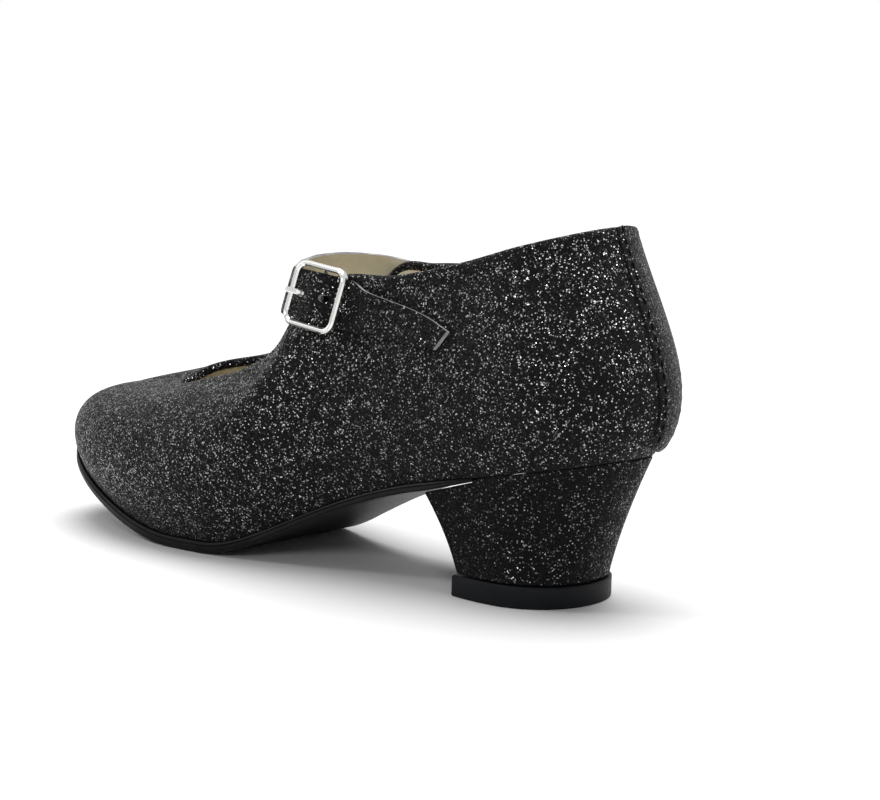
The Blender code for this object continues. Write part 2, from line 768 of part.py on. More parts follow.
def make_tab(material):
    """Leather loop that holds the bar to the upper, slotted in the middle for the prong."""
    inner = BAR_DIAMETER / 2 + METAL_CLEARANCE
    outer = inner + TAB_THICKNESS
    angles = np.radians(np.linspace(-90, -270, 9))
    outside = [(outer * math.cos(x), BAR_LEVEL + outer * math.sin(x)) for x in angles]
    inside = [(inner * math.cos(x), BAR_LEVEL + inner * math.sin(x)) for x in angles[::-1]]
    floor_low, floor_high = BAR_LEVEL - outer, BAR_LEVEL - inner
    folded = BAR_LEVEL - TAB_DROP
    profile = outside + [(TAB_TURN, folded + outer), (TAB_TURN, folded + inner)]
    profile += inside + [(TAB_LENGTH, floor_high), (TAB_LENGTH, floor_low)]
    count = len(profile)
    vertices = [(a, u, n) for u in (-TAB_WIDTH / 2, TAB_WIDTH / 2) for a, n in profile]
    faces = [(j, (j + 1) % count, count + (j + 1) % count, count + j) for j in range(count)]
    faces += [tuple(range(count)), tuple(range(count, 2 * count))]
    tab = make_object("buckle_tab", in_buckle(vertices), faces, material)
    reach = 2 * TAB_TURN
    slot = TAB_SLOT / 2
    box = [(a, u, n) for a in (-reach, 1.2 * TAB_TURN) for u in (-slot, slot) for n in (-reach, reach)]
    sides = [(0, 1, 3, 2), (4, 6, 7, 5), (0, 4, 5, 1), (2, 3, 7, 6), (0, 2, 6, 4), (1, 5, 7, 3)]
    add_cutter(tab, "prong slot", in_buckle(box), sides)
    return tab


def main():
    for obj in list(bpy.data.objects):
        bpy.data.objects.remove(obj)
    looks = {
        "glitter fabric": ((0.012, 0.012, 0.013), 0.5, 0.0),
        "back strip fabric": ((0.020, 0.020, 0.021), 0.5, 0.0),
        "strap fabric": ((0.014, 0.014, 0.015), 0.5, 0.0),
        "heel cover": ((0.012, 0.012, 0.012), 0.5, 0.0),
        "sole leather": ((0.022, 0.023, 0.025), 0.45, 0.0),
        "tip rubber": ((0.015, 0.016, 0.018), 0.5, 0.0),
        "cream insock": ((0.62, 0.56, 0.42), 0.7, 0.0),
        "nickel": ((0.62, 0.62, 0.60), 0.25, 1.0),
        "prong nickel": ((0.60, 0.60, 0.59), 0.28, 1.0),
        "tab leather": ((0.02, 0.02, 0.02), 0.6, 0.0),
    }
    made = {name: make_material(name, *look) for name, look in looks.items()}
    make_upper(made["glitter fabric"])
    make_outsole(made["sole leather"])
    make_insole(made["cream insock"])
    make_heel(made["heel cover"])
    make_tip(made["tip rubber"])
    make_back_strip(made["back strip fabric"])
    make_strap(made["strap fabric"])
    make_buckle(made["nickel"])
    make_prong(made["prong nickel"])
    make_tab(made["tab leather"])


main()
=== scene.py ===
# %% [markdown]
# A child's flamenco shoe, made ready for its picture.
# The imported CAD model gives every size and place. This lesson dresses it: it
# makes the glitter cloth, the lining, the seams, the rubber and the nickel, and
# then a camera, a floor and soft light.

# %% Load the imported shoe
import math

import bmesh
import bpy
import numpy as np
from mathutils import Matrix, Vector


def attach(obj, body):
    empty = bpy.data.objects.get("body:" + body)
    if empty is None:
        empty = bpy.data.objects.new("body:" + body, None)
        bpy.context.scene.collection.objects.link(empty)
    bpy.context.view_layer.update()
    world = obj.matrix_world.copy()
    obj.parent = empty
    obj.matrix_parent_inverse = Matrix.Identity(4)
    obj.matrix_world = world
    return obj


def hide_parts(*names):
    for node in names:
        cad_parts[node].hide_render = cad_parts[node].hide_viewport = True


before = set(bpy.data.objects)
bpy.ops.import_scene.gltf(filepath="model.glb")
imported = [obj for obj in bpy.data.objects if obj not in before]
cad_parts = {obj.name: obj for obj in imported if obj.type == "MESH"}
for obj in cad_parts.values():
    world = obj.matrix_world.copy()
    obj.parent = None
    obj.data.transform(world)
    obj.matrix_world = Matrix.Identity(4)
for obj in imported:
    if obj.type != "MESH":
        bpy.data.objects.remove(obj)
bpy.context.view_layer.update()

print("CAD nodes:", sorted(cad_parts))

# %% [markdown]
# The camera comes first, because it decides which details count. The shoe was
# photographed from behind its outer side, a little above the floor. The camera
# is placed from an angle round the shoe, a height angle, a distance and a small
# roll, which are easier to read than a rotation in three angles.

# %% Camera
CAMERA_AZIMUTH = math.radians(37.643)
CAMERA_HEIGHT_ANGLE = math.radians(6.656)
CAMERA_ROLL = math.radians(1.686)
CAMERA_DISTANCE = 0.35864
CAMERA_TARGET = Vector((0.00505, 0.03331, 0.04505))
CAMERA_LENS = 71.86


def place_camera():
    """Puts the camera at its angles round the target and levels it, apart from the roll."""
    level = math.cos(CAMERA_HEIGHT_ANGLE)
    back = Vector((
        -math.sin(CAMERA_AZIMUTH) * level,
        math.cos(CAMERA_AZIMUTH) * level,
        math.sin(CAMERA_HEIGHT_ANGLE),
    ))
    right = (-back).cross(Vector((0, 0, 1))).normalized()
    up = right.cross(-back)
    turned_right = right * math.cos(CAMERA_ROLL) + up * math.sin(CAMERA_ROLL)
    turned_up = up * math.cos(CAMERA_ROLL) - right * math.sin(CAMERA_ROLL)
    data = bpy.data.cameras.new("studio camera")
    data.lens = CAMERA_LENS
    data.sensor_width = 36.0
    data.clip_start = 0.01
    camera = bpy.data.objects.new("studio camera", data)
    bpy.context.scene.collection.objects.link(camera)
    turn = Matrix((turned_right, turned_up, back)).transposed().to_4x4()
    camera.matrix_world = Matrix.Translation(CAMERA_TARGET + back * CAMERA_DISTANCE) @ turn
    return camera


bpy.context.scene.camera = place_camera()
print("camera at", [round(x, 3) for x in bpy.context.scene.camera.matrix_world.translation])

# %% [markdown]
# Shader maths reads best as plain expressions. A small class wraps the output
# of a node, and its operators add Math nodes, so that a formula in the code
# looks like a formula. Colours and directions go through Mix and Vector Math
# nodes, because a Math node would turn a colour grey.

# %% Nodes as expressions
class Wire:
    """An output of a node that can be used in sums and products."""

    def __init__(self, bench, socket):
        self.bench = bench
        self.socket = socket

    def maths(self, operation, first, second=0.0, clamp=False):
        settings = {"operation": operation, "use_clamp": clamp}
        node = self.bench.node("ShaderNodeMath", settings, {0: first, 1: second})
        return self.bench.out(node, 0)

    def __add__(self, other):
        return self.maths("ADD", self, other)

    __radd__ = __add__

    def __mul__(self, other):
        return self.maths("MULTIPLY", self, other)

    __rmul__ = __mul__

    def __sub__(self, other):
        return self.maths("SUBTRACT", self, other)

    def __rsub__(self, other):
        return self.maths("SUBTRACT", other, self)

    def __truediv__(self, other):
        return self.maths("DIVIDE", self, other)

    def __pow__(self, other):
        return self.maths("POWER", self, other)

    def above(self, level):
        return self.maths("GREATER_THAN", self, level)

    def between(self, low, high):
        """0 up to low, 1 from high on, and a smooth rise between them."""
        node = self.bench.node(
            "ShaderNodeMapRange",
            {"interpolation_type": "SMOOTHSTEP"},
            {"Value": self, "From Min": low, "From Max": high},
        )
        return self.bench.out(node, "Result")


class Bench:
    """Adds nodes to a tree: their type, their settings first, then values or wires for their sockets."""

    def __init__(self, tree):
        self.tree = tree

    def node(self, kind, settings=None, sockets=None):
        node = self.tree.nodes.new(kind)
        for name, value in (settings or {}).items():
            setattr(node, name, value)
        for name, value in (sockets or {}).items():
            if isinstance(value, Wire):
                self.tree.links.new(value.socket, node.inputs[name])
            else:
                node.inputs[name].default_value = value
        return node

    def out(self, node, name=0):
        return Wire(self, node.outputs[name])

    def mix(self, share, first, second):
        """A colour between two colours."""
        node = self.node("ShaderNodeMix", {"data_type": "RGBA"}, {0: share, 6: first, 7: second})
        return self.out(node, 2)

    def vector(self, operation, first, second=(0.0, 0.0, 0.0), scale=None):
        sockets = {0: first, 1: second}
        if scale is not None:
            sockets = {0: first, "Scale": scale}
        return self.out(self.node("ShaderNodeVectorMath", {"operation": operation}, sockets), 0)

    def place(self, coordinates="Object"):
        return self.out(self.node("ShaderNodeTexCoord"), coordinates)

    def noise(self, place, scale, detail=2.0, rough=0.5):
        sockets = {"Vector": place, "Scale": scale, "Detail": detail, "Roughness": rough}
        return self.out(self.node("ShaderNodeTexNoise", {}, sockets), 0)

    def bump(self, height, strength, distance, normal=None):
        sockets = {"Height": height, "Strength": strength, "Distance": distance}
        if normal is not None:
            sockets["Normal"] = normal
        return self.out(self.node("ShaderNodeBump", {}, sockets), 0)


def new_finish(name):
    """A new material, its bench and its Principled shader."""
    material = bpy.data.materials.new(name)
    material.use_nodes = True
    bench = Bench(material.node_tree)
    return material, bench, material.node_tree.nodes["Principled BSDF"]


def feed(bench, shader, **sockets):
    """Sets or links sockets of a shader, with _ for a space in their names."""
    for name, value in sockets.items():
        socket = shader.inputs[name.replace("_", " ")]
        if isinstance(value, Wire):
            bench.tree.links.new(value.socket, socket)
        else:
            socket.default_value = value


print("shader bench ready")

# %% [markdown]
# Glitter cloth is a black base with thousands of tiny flat flakes set at random
# angles. A cell texture gives each flake one random colour: one channel decides
# whether it is bright, and the others tilt its normal, so that it catches the
# light or not as a mirror would. A slow noise makes clusters and thin places.

# %% Glitter cloth
FLAKE_SCALE = 3500.0
CLUSTER_SCALE = 330.0


def glitter(name, base, bright_share, flake, tilt=1.0, sheen=0.05):
    """Cloth of a base grey and flakes: their share of the face, their brightness and their tilt."""
    material, bench, shader = new_finish(name)
    place = bench.place()
    flakes = bench.node(
        "ShaderNodeTexVoronoi", {"feature": "F1"}, {"Vector": place, "Scale": FLAKE_SCALE, "Randomness": 1.0}
    )
    parts = bench.node("ShaderNodeSeparateColor", {}, {"Color": bench.out(flakes, "Color")})
    luck = bench.out(parts, 0)
    clusters = bench.noise(place, CLUSTER_SCALE, 3.0, 0.6).between(0.32, 0.70)
    share = bright_share * (0.45 + 1.1 * clusters)
    rank = (luck - (1.0 - share)) / share
    brightness = rank.maths("MAXIMUM", rank, 0.0) ** 3.0
    near_middle = 1.0 - bench.out(flakes, "Distance").between(0.45, 0.75)
    mask = luck.above(1.0 - share) * near_middle
    cloth = bench.mix(luck, (*(0.4 * x for x in base), 1.0), (*(1.8 * x for x in base), 1.0))
    colour = bench.mix(mask * brightness, cloth, (flake, flake, 0.99 * flake, 1.0))
    spread = bench.vector("SUBTRACT", bench.out(flakes, "Color"), (0.5, 0.5, 0.5))
    normal = bench.out(bench.node("ShaderNodeNewGeometry"), "Normal")
    tilted = bench.vector("NORMALIZE", bench.vector("ADD", normal, bench.vector("SCALE", spread, scale=tilt)))
    feed(
        bench,
        shader,
        Base_Color=colour,
        Metallic=mask * 0.9,
        Roughness=0.62 - 0.30 * mask,
        Normal=bench.bump(bench.noise(place, 900.0, 2.0, 0.6), 0.5, 0.0004, tilted),
        Specular_IOR_Level=0.06,
        Sheen_Weight=sheen,
        Sheen_Roughness=0.5,
    )
    return material


glitter_cloth = glitter("glitter cloth", (0.0045, 0.0045, 0.0048), 0.24, 0.85)
strap_cloth = glitter("strap glitter cloth", (0.0040, 0.0040, 0.0043), 0.20, 0.70)
# The heel's copy of the cloth has dimmer flakes and less sheen: painted shade for the heel, which stands in
# less light than the upper.
dimmed_heel_glitter = glitter("heel glitter in painted shade", (0.0040, 0.0040, 0.0042), 0.20, 0.40, 1.0, 0.02)
strip_cloth = glitter("back strip cloth", (0.0090, 0.0090, 0.0095), 0.16, 0.55, 0.8, 0.10)
print("glitter cloths:", [m.name for m in (glitter_cloth, strap_cloth, dimmed_heel_glitter, strip_cloth)])

# %% [markdown]
# The other finishes are quieter. Each has a grain of its own scale: a fine
# pebble on the sole leather, soft mottling on the rubber tip, a knit on the
# cream lining, hair scratches on the nickel. Only colour, roughness and the
# normal change over a surface, so that the finishes can be baked.

# %% Leather, rubber, lining, nickel and thread
def grained(name, dark, light, scale, rough_low, rough_high, bump, specular=0.4):
    """A plain material with mottled colour, changing gloss and a fine grain."""
    material, bench, shader = new_finish(name)
    place = bench.place()
    mottle = bench.noise(place, scale * 0.12, 3.0, 0.55)
    grain = bench.noise(place, scale, 3.0, 0.6)
    colour = bench.mix(mottle.between(0.3, 0.7), (*dark, 1.0), (*light, 1.0))
    feed(
        bench,
        shader,
        Base_Color=colour,
        Roughness=rough_low + (rough_high - rough_low) * grain,
        Normal=bench.bump(grain, bump, 0.0002),
        Specular_IOR_Level=specular,
    )
    return material


def knitted(name, dark, light, thread_scale):
    """Cream lining cloth: crossed fine ribs over soft stains."""
    material, bench, shader = new_finish(name)
    place = bench.place()
    stain = bench.noise(place, 60.0, 3.0, 0.6)
    threads = {"Vector": place, "Scale": thread_scale, "Distortion": 1.5}
    weave_across = bench.out(bench.node("ShaderNodeTexWave", {"bands_direction": "X"}, threads), 1)
    weave_up = bench.out(bench.node("ShaderNodeTexWave", {"bands_direction": "Z"}, threads), 1)
    weave = weave_across * 0.5 + weave_up * 0.5
    colour = bench.mix(stain.between(0.3, 0.75), (*dark, 1.0), (*light, 1.0))
    feed(
        bench,
        shader,
        Base_Color=colour,
        Roughness=0.75 + 0.15 * weave,
        Normal=bench.bump(weave, 0.35, 0.0002),
        Specular_IOR_Level=0.2,
        Sheen_Weight=0.2,
    )
    return material


def polished(name, colour, roughness):
    """Nickel plate with faint hair scratches and a slightly uneven polish."""
    material, bench, shader = new_finish(name)
    place = bench.place()
    stretched = bench.out(bench.node("ShaderNodeMapping", {}, {"Vector": place, "Scale": (1.0, 1.0, 9.0)}))
    scratches = bench.noise(stretched, 700.0, 4.0, 0.7)
    cloud = bench.noise(place, 240.0, 2.0, 0.5)
    feed(
        bench,
        shader,
        Base_Color=bench.mix(cloud, (*(0.88 * x for x in colour), 1.0), (*colour, 1.0)),
        Metallic=1.0,
        Roughness=roughness + 0.12 * scratches,
        Normal=bench.bump(scratches, 0.08, 0.0001),
    )
    return material


BLACK_LEATHER = ((0.0035, 0.0036, 0.0040), (0.0070, 0.0074, 0.0080))
BLACK_RUBBER = ((0.0050, 0.0055, 0.0065), (0.0085, 0.0092, 0.0110))
TAB_LEATHER = ((0.0050, 0.0050, 0.0050), (0.0110, 0.0105, 0.0105))
PALE_EDGE = ((0.20, 0.20, 0.205), (0.40, 0.40, 0.40))
BACKING = ((0.006, 0.006, 0.006), (0.014, 0.014, 0.014))
BLACK_THREAD = ((0.0020, 0.0020, 0.0022), (0.0050, 0.0050, 0.0055))
CREAM_THREAD = ((0.50, 0.45, 0.33), (0.66, 0.60, 0.46))

sole_finish = grained("sole leather", *BLACK_LEATHER, 1500.0, 0.36, 0.54, 0.18, 0.12)
rubber_finish = grained("tip rubber", *BLACK_RUBBER, 900.0, 0.40, 0.56, 0.12, 0.12)
tab_finish = grained("tab leather", *TAB_LEATHER, 1300.0, 0.45, 0.65, 0.3, 0.15)
cut_finish = grained("cut edge", *PALE_EDGE, 2600.0, 0.75, 0.9, 0.6, 0.2)
backing_finish = grained("cloth backing", *BACKING, 2200.0, 0.8, 0.95, 0.4, 0.1)
thread_finish = grained("black thread", *BLACK_THREAD, 5000.0, 0.6, 0.8, 0.5, 0.05)
cream_thread = grained("cream thread", *CREAM_THREAD, 5000.0, 0.6, 0.8, 0.5)
lining_finish = knitted("cream lining", (0.66, 0.60, 0.45), (0.80, 0.75, 0.60), 420.0)
insock_finish = knitted("cream insock", (0.56, 0.50, 0.37), (0.70, 0.64, 0.49), 300.0)
nickel_finish = polished("nickel", (0.80, 0.80, 0.78), 0.10)
print("finishes:", len(bpy.data.materials))

# %% [markdown]
# The shoe's skin follows the last, so the dressed pieces are made from the same
# lines as the CAD: the feather line round the sole, the topline round the
# opening, and a smooth wall between them. A point on the upper has two
# coordinates: its way round, from the back (0) by the outer side to the toe (1)
# or by the inner side (-1), and its share of the way up.

# %% Lines of the last
LAST_LENGTH = 0.174
BALL_WIDTH = 0.0535
SEAT_HEIGHT = 0.0330
SEAT_FALL = 0.0090
SHANK_FULLNESS = 0.0018
TOE_SPRING = 0.0185
BACK_HEIGHT = 0.0490
SEAT_END = 0.262
TREAD_START = 0.620
TREAD_END = 0.680
SPRING_CURVE = 1.65
SOLE_THICKNESS = 0.0028
TIP_CENTRE_SHARE = 0.138
GAP = 0.0003

OUTLINE = np.array((
    (0.012, 0.130, 0.000),
    (0.050, 0.240, 0.000),
    (0.100, 0.295, 0.000),
    (0.160, 0.315, 0.000),
    (0.260, 0.315, 0.000),
    (0.380, 0.313, 0.005),
    (0.520, 0.390, 0.005),
    (0.640, 0.472, -0.038),
    (0.720, 0.497, -0.070),
    (0.838, 0.443, -0.085),
    (0.912, 0.367, -0.088),
    (0.966, 0.250, -0.090),
    (0.988, 0.150, -0.090),
))
TOPLINE = np.array((
    (0.00, 0.049, 0.000, 1.020, 0.049, 0.000, 1.020),
    (0.08, 0.070, 0.196, 1.004, 0.070, 0.196, 1.014),
    (0.16, 0.128, 0.308, 0.984, 0.128, 0.308, 1.008),
    (0.26, 0.220, 0.336, 0.956, 0.220, 0.336, 0.991),
    (0.36, 0.310, 0.355, 0.960, 0.320, 0.355, 1.015),
    (0.46, 0.400, 0.364, 1.050, 0.410, 0.364, 1.111),
    (0.54, 0.452, 0.364, 1.031, 0.475, 0.364, 1.202),
    (0.62, 0.506, 0.346, 0.876, 0.540, 0.346, 1.101),
    (0.70, 0.582, 0.318, 0.839, 0.625, 0.318, 0.984),
    (0.80, 0.682, 0.262, 0.767, 0.715, 0.271, 0.850),
    (0.90, 0.768, 0.159, 0.662, 0.790, 0.178, 0.728),
    (1.00, 0.812, 0.000, 0.619, 0.812, 0.000, 0.619),
))
WALL = np.array((
    (0.00, 40.0, 20.0, 0.33, 0.42),
    (0.15, 34.0, 12.0, 0.38, 0.40),
    (0.32, 24.0, 8.0, 0.36, 0.35),
    (0.50, 24.0, 14.0, 0.36, 0.35),
    (0.62, 32.0, 34.0, 0.38, 0.38),
    (0.75, 34.0, 58.0, 0.40, 0.38),
    (0.88, 20.0, 76.0, 0.38, 0.44),
    (1.00, 12.0, 82.0, 0.40, 0.46),
))


def smooth_curve(knots, values, at):
    """Reads a smooth curve through the values at the knots."""
    slopes = np.gradient(values, knots)
    at = np.clip(at, knots[0], knots[-1])
    i = np.clip(np.searchsorted(knots, at) - 1, 0, len(knots) - 2)
    width = knots[i + 1] - knots[i]
    t = (at - knots[i]) / width
    level = values[i] + t * t * (3 - 2 * t) * (values[i + 1] - values[i])
    return level + width * (t * (1 - t) ** 2 * slopes[i] + t * t * (t - 1) * slopes[i + 1])


def share_at(way):
    return (1 - np.cos(np.pi * np.abs(way))) / 2


def along(share):
    return (np.asarray(share, float) - TIP_CENTRE_SHARE) * LAST_LENGTH


def outline_y(share, side):
    share = np.clip(share, 0, 1)
    angles = np.arccos(1 - 2 * OUTLINE[:, 0])
    angle = np.arccos(1 - 2 * share)
    half = smooth_curve(angles, OUTLINE[:, 1] / np.sin(angles), angle) * np.sin(angle)
    return BALL_WIDTH * (smooth_curve(angles, OUTLINE[:, 2], angle) + side * half)


def last_bottom(share):
    share = np.asarray(share, float)
    seat_slope = -SEAT_FALL / SEAT_END
    shank_length = TREAD_START - SEAT_END
    t = np.clip((share - SEAT_END) / shank_length, 0, 1)
    high = SEAT_HEIGHT - SEAT_FALL
    shank = high + t * t * (3 - 2 * t) * (SOLE_THICKNESS - high)
    shank = shank + seat_slope * shank_length * t * (1 - t) ** 2
    shank = shank + SHANK_FULLNESS * np.sin(np.pi * t) ** 2
    lift = np.clip((share - TREAD_END) / (1 - TREAD_END), 0, 1)
    spring = SOLE_THICKNESS + TOE_SPRING * lift**SPRING_CURVE
    front = np.where(share < TREAD_START, shank, spring)
    return np.where(share < SEAT_END, SEAT_HEIGHT + seat_slope * share, front)


def table_round(table, outer, inner, way, odd=False):
    """Reads a column for the outer side and one for the inner side, for any way round."""
    sign = -1 if odd else 1
    knots = np.concatenate([-table[:0:-1, 0], table[:, 0], 2 - table[-2:0:-1, 0]])
    values = np.concatenate([sign * table[:0:-1, inner], table[:, outer], sign * table[-2:0:-1, inner]])
    return smooth_curve(knots, values, way)


def feather_line(way):
    share = share_at(way)
    side = np.where(np.asarray(way) < 0, -1.0, 1.0)
    return np.stack([along(share), outline_y(share, side), last_bottom(share) + GAP], axis=-1)


def topline(way):
    share = table_round(TOPLINE, 1, 4, way)
    half = table_round(TOPLINE, 2, 5, way, odd=True)
    axis = (outline_y(share, 1) + outline_y(share, -1)) / 2
    height = last_bottom(share) + table_round(TOPLINE, 3, 6, way) * BACK_HEIGHT
    return np.stack([along(share), axis + half * BALL_WIDTH, height], axis=-1)


def level_normals(line):
    run = np.roll(line, -1, axis=0) - np.roll(line, 1, axis=0)
    outward = np.stack([-run[:, 1], run[:, 0], np.zeros(len(run))], axis=-1)
    return outward / np.linalg.norm(outward, axis=1, keepdims=True)


RING = np.arange(-144, 144) / 144


def wall_lines():
    """The four control lines of the wall on a fine ring of ways, ready to be read at any way."""
    foot, top = feather_line(RING), topline(RING)
    distance = np.linalg.norm(top - foot, axis=1, keepdims=True)
    lean_out = np.radians(table_round(WALL, 1, 1, RING))[:, None]
    lean_in = np.radians(table_round(WALL, 2, 2, RING))[:, None]
    up = np.array([0.0, 0.0, 1.0])
    foot_way = np.cos(lean_out) * up + np.sin(lean_out) * level_normals(foot)
    top_way = np.sin(lean_in) * level_normals(top) - np.cos(lean_in) * up
    foot_handle = foot + foot_way * distance * table_round(WALL, 3, 3, RING)[:, None]
    top_handle = top + top_way * distance * table_round(WALL, 4, 4, RING)[:, None]
    return foot, foot_handle, top_handle, top


CONTROL = wall_lines()


def wall_points(ways, ups):
    """Points of the upper's outer face for pairs of way and up, of any shape."""
    ways, ups = np.broadcast_arrays(np.asarray(ways, float), np.asarray(ups, float))
    knots = np.append(RING, 1.0)
    spots = (ways + 1) % 2 - 1
    read = []
    for line in CONTROL:
        closed = np.concatenate([line, line[:1]])
        read.append(np.stack([np.interp(spots, knots, closed[:, k]) for k in range(3)], axis=-1))
    t = ups[..., None]
    low_half = (1 - t) ** 3 * read[0] + 3 * (1 - t) ** 2 * t * read[1]
    return low_half + 3 * (1 - t) * t**2 * read[2] + t**3 * read[3]


def wall_frame(ways, ups):
    """Points, outward normals and upward tangents of the upper's outer face."""
    ways, ups = np.broadcast_arrays(np.asarray(ways, float), np.asarray(ups, float))
    across = wall_points(ways + 0.007, ups) - wall_points(ways - 0.007, ups)
    upward = wall_points(ways, ups + 0.004) - wall_points(ways, ups - 0.004)
    normals = np.cross(upward, across)
    normals /= np.linalg.norm(normals, axis=-1, keepdims=True)
    return wall_points(ways, ups), normals, upward / np.linalg.norm(upward, axis=-1, keepdims=True)


print("wall height at the back in mm:", round(1000 * float(topline(np.array([0.0]))[0, 2] - SEAT_HEIGHT), 1))

# %% [markdown]
# Every curved piece is a grid of points joined by four-sided faces. One helper
# makes them all. It takes a grid, says which edges meet, and gives each strip of
# faces its own finish.

# %% Grid meshes
def add_object(name, mesh):
    obj = bpy.data.objects.new(name, mesh)
    bpy.context.scene.collection.objects.link(obj)
    return obj


def grid_piece(name, grid, wrap_rows, wrap_columns, finishes, finish_of=None, ends=False, sharp=50.0):
    """A mesh from a grid of points. finish_of gives each column of faces its finish's number."""
    rows, columns = grid.shape[:2]
    row_count = rows if wrap_rows else rows - 1
    column_count = columns if wrap_columns else columns - 1
    faces, numbers = [], []
    for i in range(row_count):
        a, b = i * columns, (i + 1) % rows * columns
        for j in range(column_count):
            k = (j + 1) % columns
            faces.append((a + j, b + j, b + k, a + k))
            numbers.append(finish_of(j) if finish_of else 0)
    if ends:
        for start in (0, (rows - 1) * columns):
            faces.append(tuple(range(start, start + columns)))
            numbers.append(finish_of(-1) if finish_of else 0)
    mesh = bpy.data.meshes.new(name)
    mesh.from_pydata(grid.reshape(-1, 3).tolist(), [], faces)
    for finish in finishes:
        mesh.materials.append(finish)
    mesh.polygons.foreach_set("material_index", np.array(numbers, np.int32))
    work = bmesh.new()
    work.from_mesh(mesh)
    bmesh.ops.remove_doubles(work, verts=work.verts, dist=1e-6)
    bmesh.ops.recalc_face_normals(work, faces=work.faces)
    work.to_mesh(mesh)
    work.free()
    mesh.shade_smooth()
    mesh.set_sharp_from_angle(angle=math.radians(sharp))
    return add_object(name, mesh)


def report(obj):
    """Prints what a piece came to."""
    triangles = sum(len(p.vertices) - 2 for p in obj.data.polygons)
    print(f"{obj.name}: {triangles} triangles, {len(obj.data.materials)} finishes")


print("grid helper ready")

# %% [markdown]
# The upper's skin is the cloth that shows outside. It turns over the topline in
# a soft fold and ends a little way down inside, where the lining begins. The
# real cloth isn't perfectly even: a few soft troughs and ridges keep it from
# looking moulded. Each is a line between two points of the upper, with a depth
# and a width, and a low ridge beside it.

# %% Upper skin with its fold and creases
SKIN = 0.0012
FOLD = 0.0020
FOLD_DEPTH = 0.0014
MARGIN = 0.0030

# way and up of one end, way and up of the other end, depth, half width
CREASES = (
    (0.375, 0.66, 0.455, 0.80, 0.00035, 0.0022),
    (0.330, 0.58, 0.420, 0.66, 0.00025, 0.0026),
    (0.060, 0.90, 0.210, 0.86, 0.00030, 0.0030),
    (0.050, 0.40, 0.080, 0.72, 0.00025, 0.0034),
    (0.560, 0.30, 0.640, 0.62, 0.00025, 0.0040),
    (0.640, 0.25, 0.700, 0.55, 0.00020, 0.0040),
    (0.180, 0.14, 0.380, 0.16, 0.00020, 0.0030),
    (-0.600, 0.30, -0.680, 0.60, 0.00025, 0.0040),
    (-0.420, 0.50, -0.520, 0.62, 0.00030, 0.0030),
    (-0.060, 0.88, -0.220, 0.86, 0.00025, 0.0030),
)


def crease_height(points):
    """How far the creases move each point in or out."""
    height = np.zeros(points.shape[:-1])
    for way_a, up_a, way_b, up_b, depth, width in CREASES:
        t = np.linspace(0, 1, 24)
        line = wall_points(way_a + (way_b - way_a) * t, up_a + (up_b - up_a) * t)
        fade = np.sin(np.pi * (0.08 + 0.84 * t))
        away = np.linalg.norm(points[..., None, :] - line, axis=-1)
        nearest = away.argmin(axis=-1)
        distance = np.take_along_axis(away, nearest[..., None], axis=-1)[..., 0]
        trough = -np.exp(-((distance / width) ** 2))
        ridge = 0.45 * np.exp(-(((distance - 1.9 * width) / width) ** 2))
        height += depth * fade[nearest] * (trough + ridge)
    return height


def skin_grid():
    """A closed section of the skin at each way: outside, fold, inside."""
    ups = np.linspace(0, 1, 61)[:-1]
    ways = RING[:, None]
    points, normals, tangents = wall_frame(ways, ups[None])
    height = crease_height(points)
    reach = np.linalg.norm(wall_points(RING, 1.0) - wall_points(RING, 0.98), axis=-1) / 0.02
    last = 1 - 0.8 * FOLD / 2 / reach
    ups_here = np.minimum(ups[None] * last[:, None] / ups[-1], last[:, None])
    points, normals, tangents = wall_frame(ways, ups_here)
    from_top = (last[:, None] - ups_here) * reach[:, None]
    roll = 0.00022 * np.exp(-(((from_top - 0.0008) / 0.0011) ** 2))
    edge_dip = -0.00018 * np.exp(-(((from_top - 0.0030) / 0.0006) ** 2))
    outside = points + normals * (height + roll + edge_dip)[..., None]
    end, end_normal, end_tangent = points[:, -1], normals[:, -1], tangents[:, -1]
    centre = end - end_normal * FOLD / 2
    start = outside[:, -1]
    arc = []
    for angle in np.radians(np.linspace(20, 180, 9)):
        outward = end_normal * FOLD / 2 * math.cos(angle)
        upward = end_tangent * 0.8 * FOLD / 2 * math.sin(angle)
        arc.append(centre + outward + upward)
    arc = np.stack(arc, axis=1)
    arc += (start - end)[:, None] * np.linspace(0.8, 0, 9)[None, :, None]
    inside = []
    for down, depth in ((0.5, 1.0), (0.85, 1.0), (1.0, 0.93), (1.05, 0.66)):
        place, normal, _ = wall_frame(RING, last - down * FOLD_DEPTH / reach)
        inside.append(place - normal * FOLD * depth)
    inside = np.stack(inside, axis=1)
    back = points[:, :-4:6][:, ::-1] - normals[:, :-4:6][:, ::-1] * SKIN
    back[:, -1, 2] = points[:, 0, 2]
    foot, inward = points[:, 0], -level_normals(points[:, 0])
    margin = []
    for reach_in, drop in ((MARGIN, 0.1 * GAP), (MARGIN, 0.85 * GAP), (0.0002, 0.85 * GAP)):
        margin.append(foot + inward * reach_in - [0.0, 0.0, drop])
    margin = np.stack(margin, axis=1)
    turn = outside.shape[1] + arc.shape[1] + 2
    return np.concatenate([outside, arc, inside, back, margin], axis=1), turn


grid, turn = skin_grid()
upper_skin = grid_piece(
    "upper_skin", grid, True, True, [glitter_cloth, backing_finish], lambda j: 0 if j < turn else 1
)
report(upper_skin)

# %% [markdown]
# The lining is a thin cream cloth stitched in along the topline. A narrow band
# lies flat at its top, and under the seam the cloth gathers into soft upright
# folds, because it is sewn to a curve. The folds only push inwards, so they can
# never come through the skin.

# %% Lining with its gathers
LINING = 0.0006
LINING_START = 0.0012
BAND = 0.0030


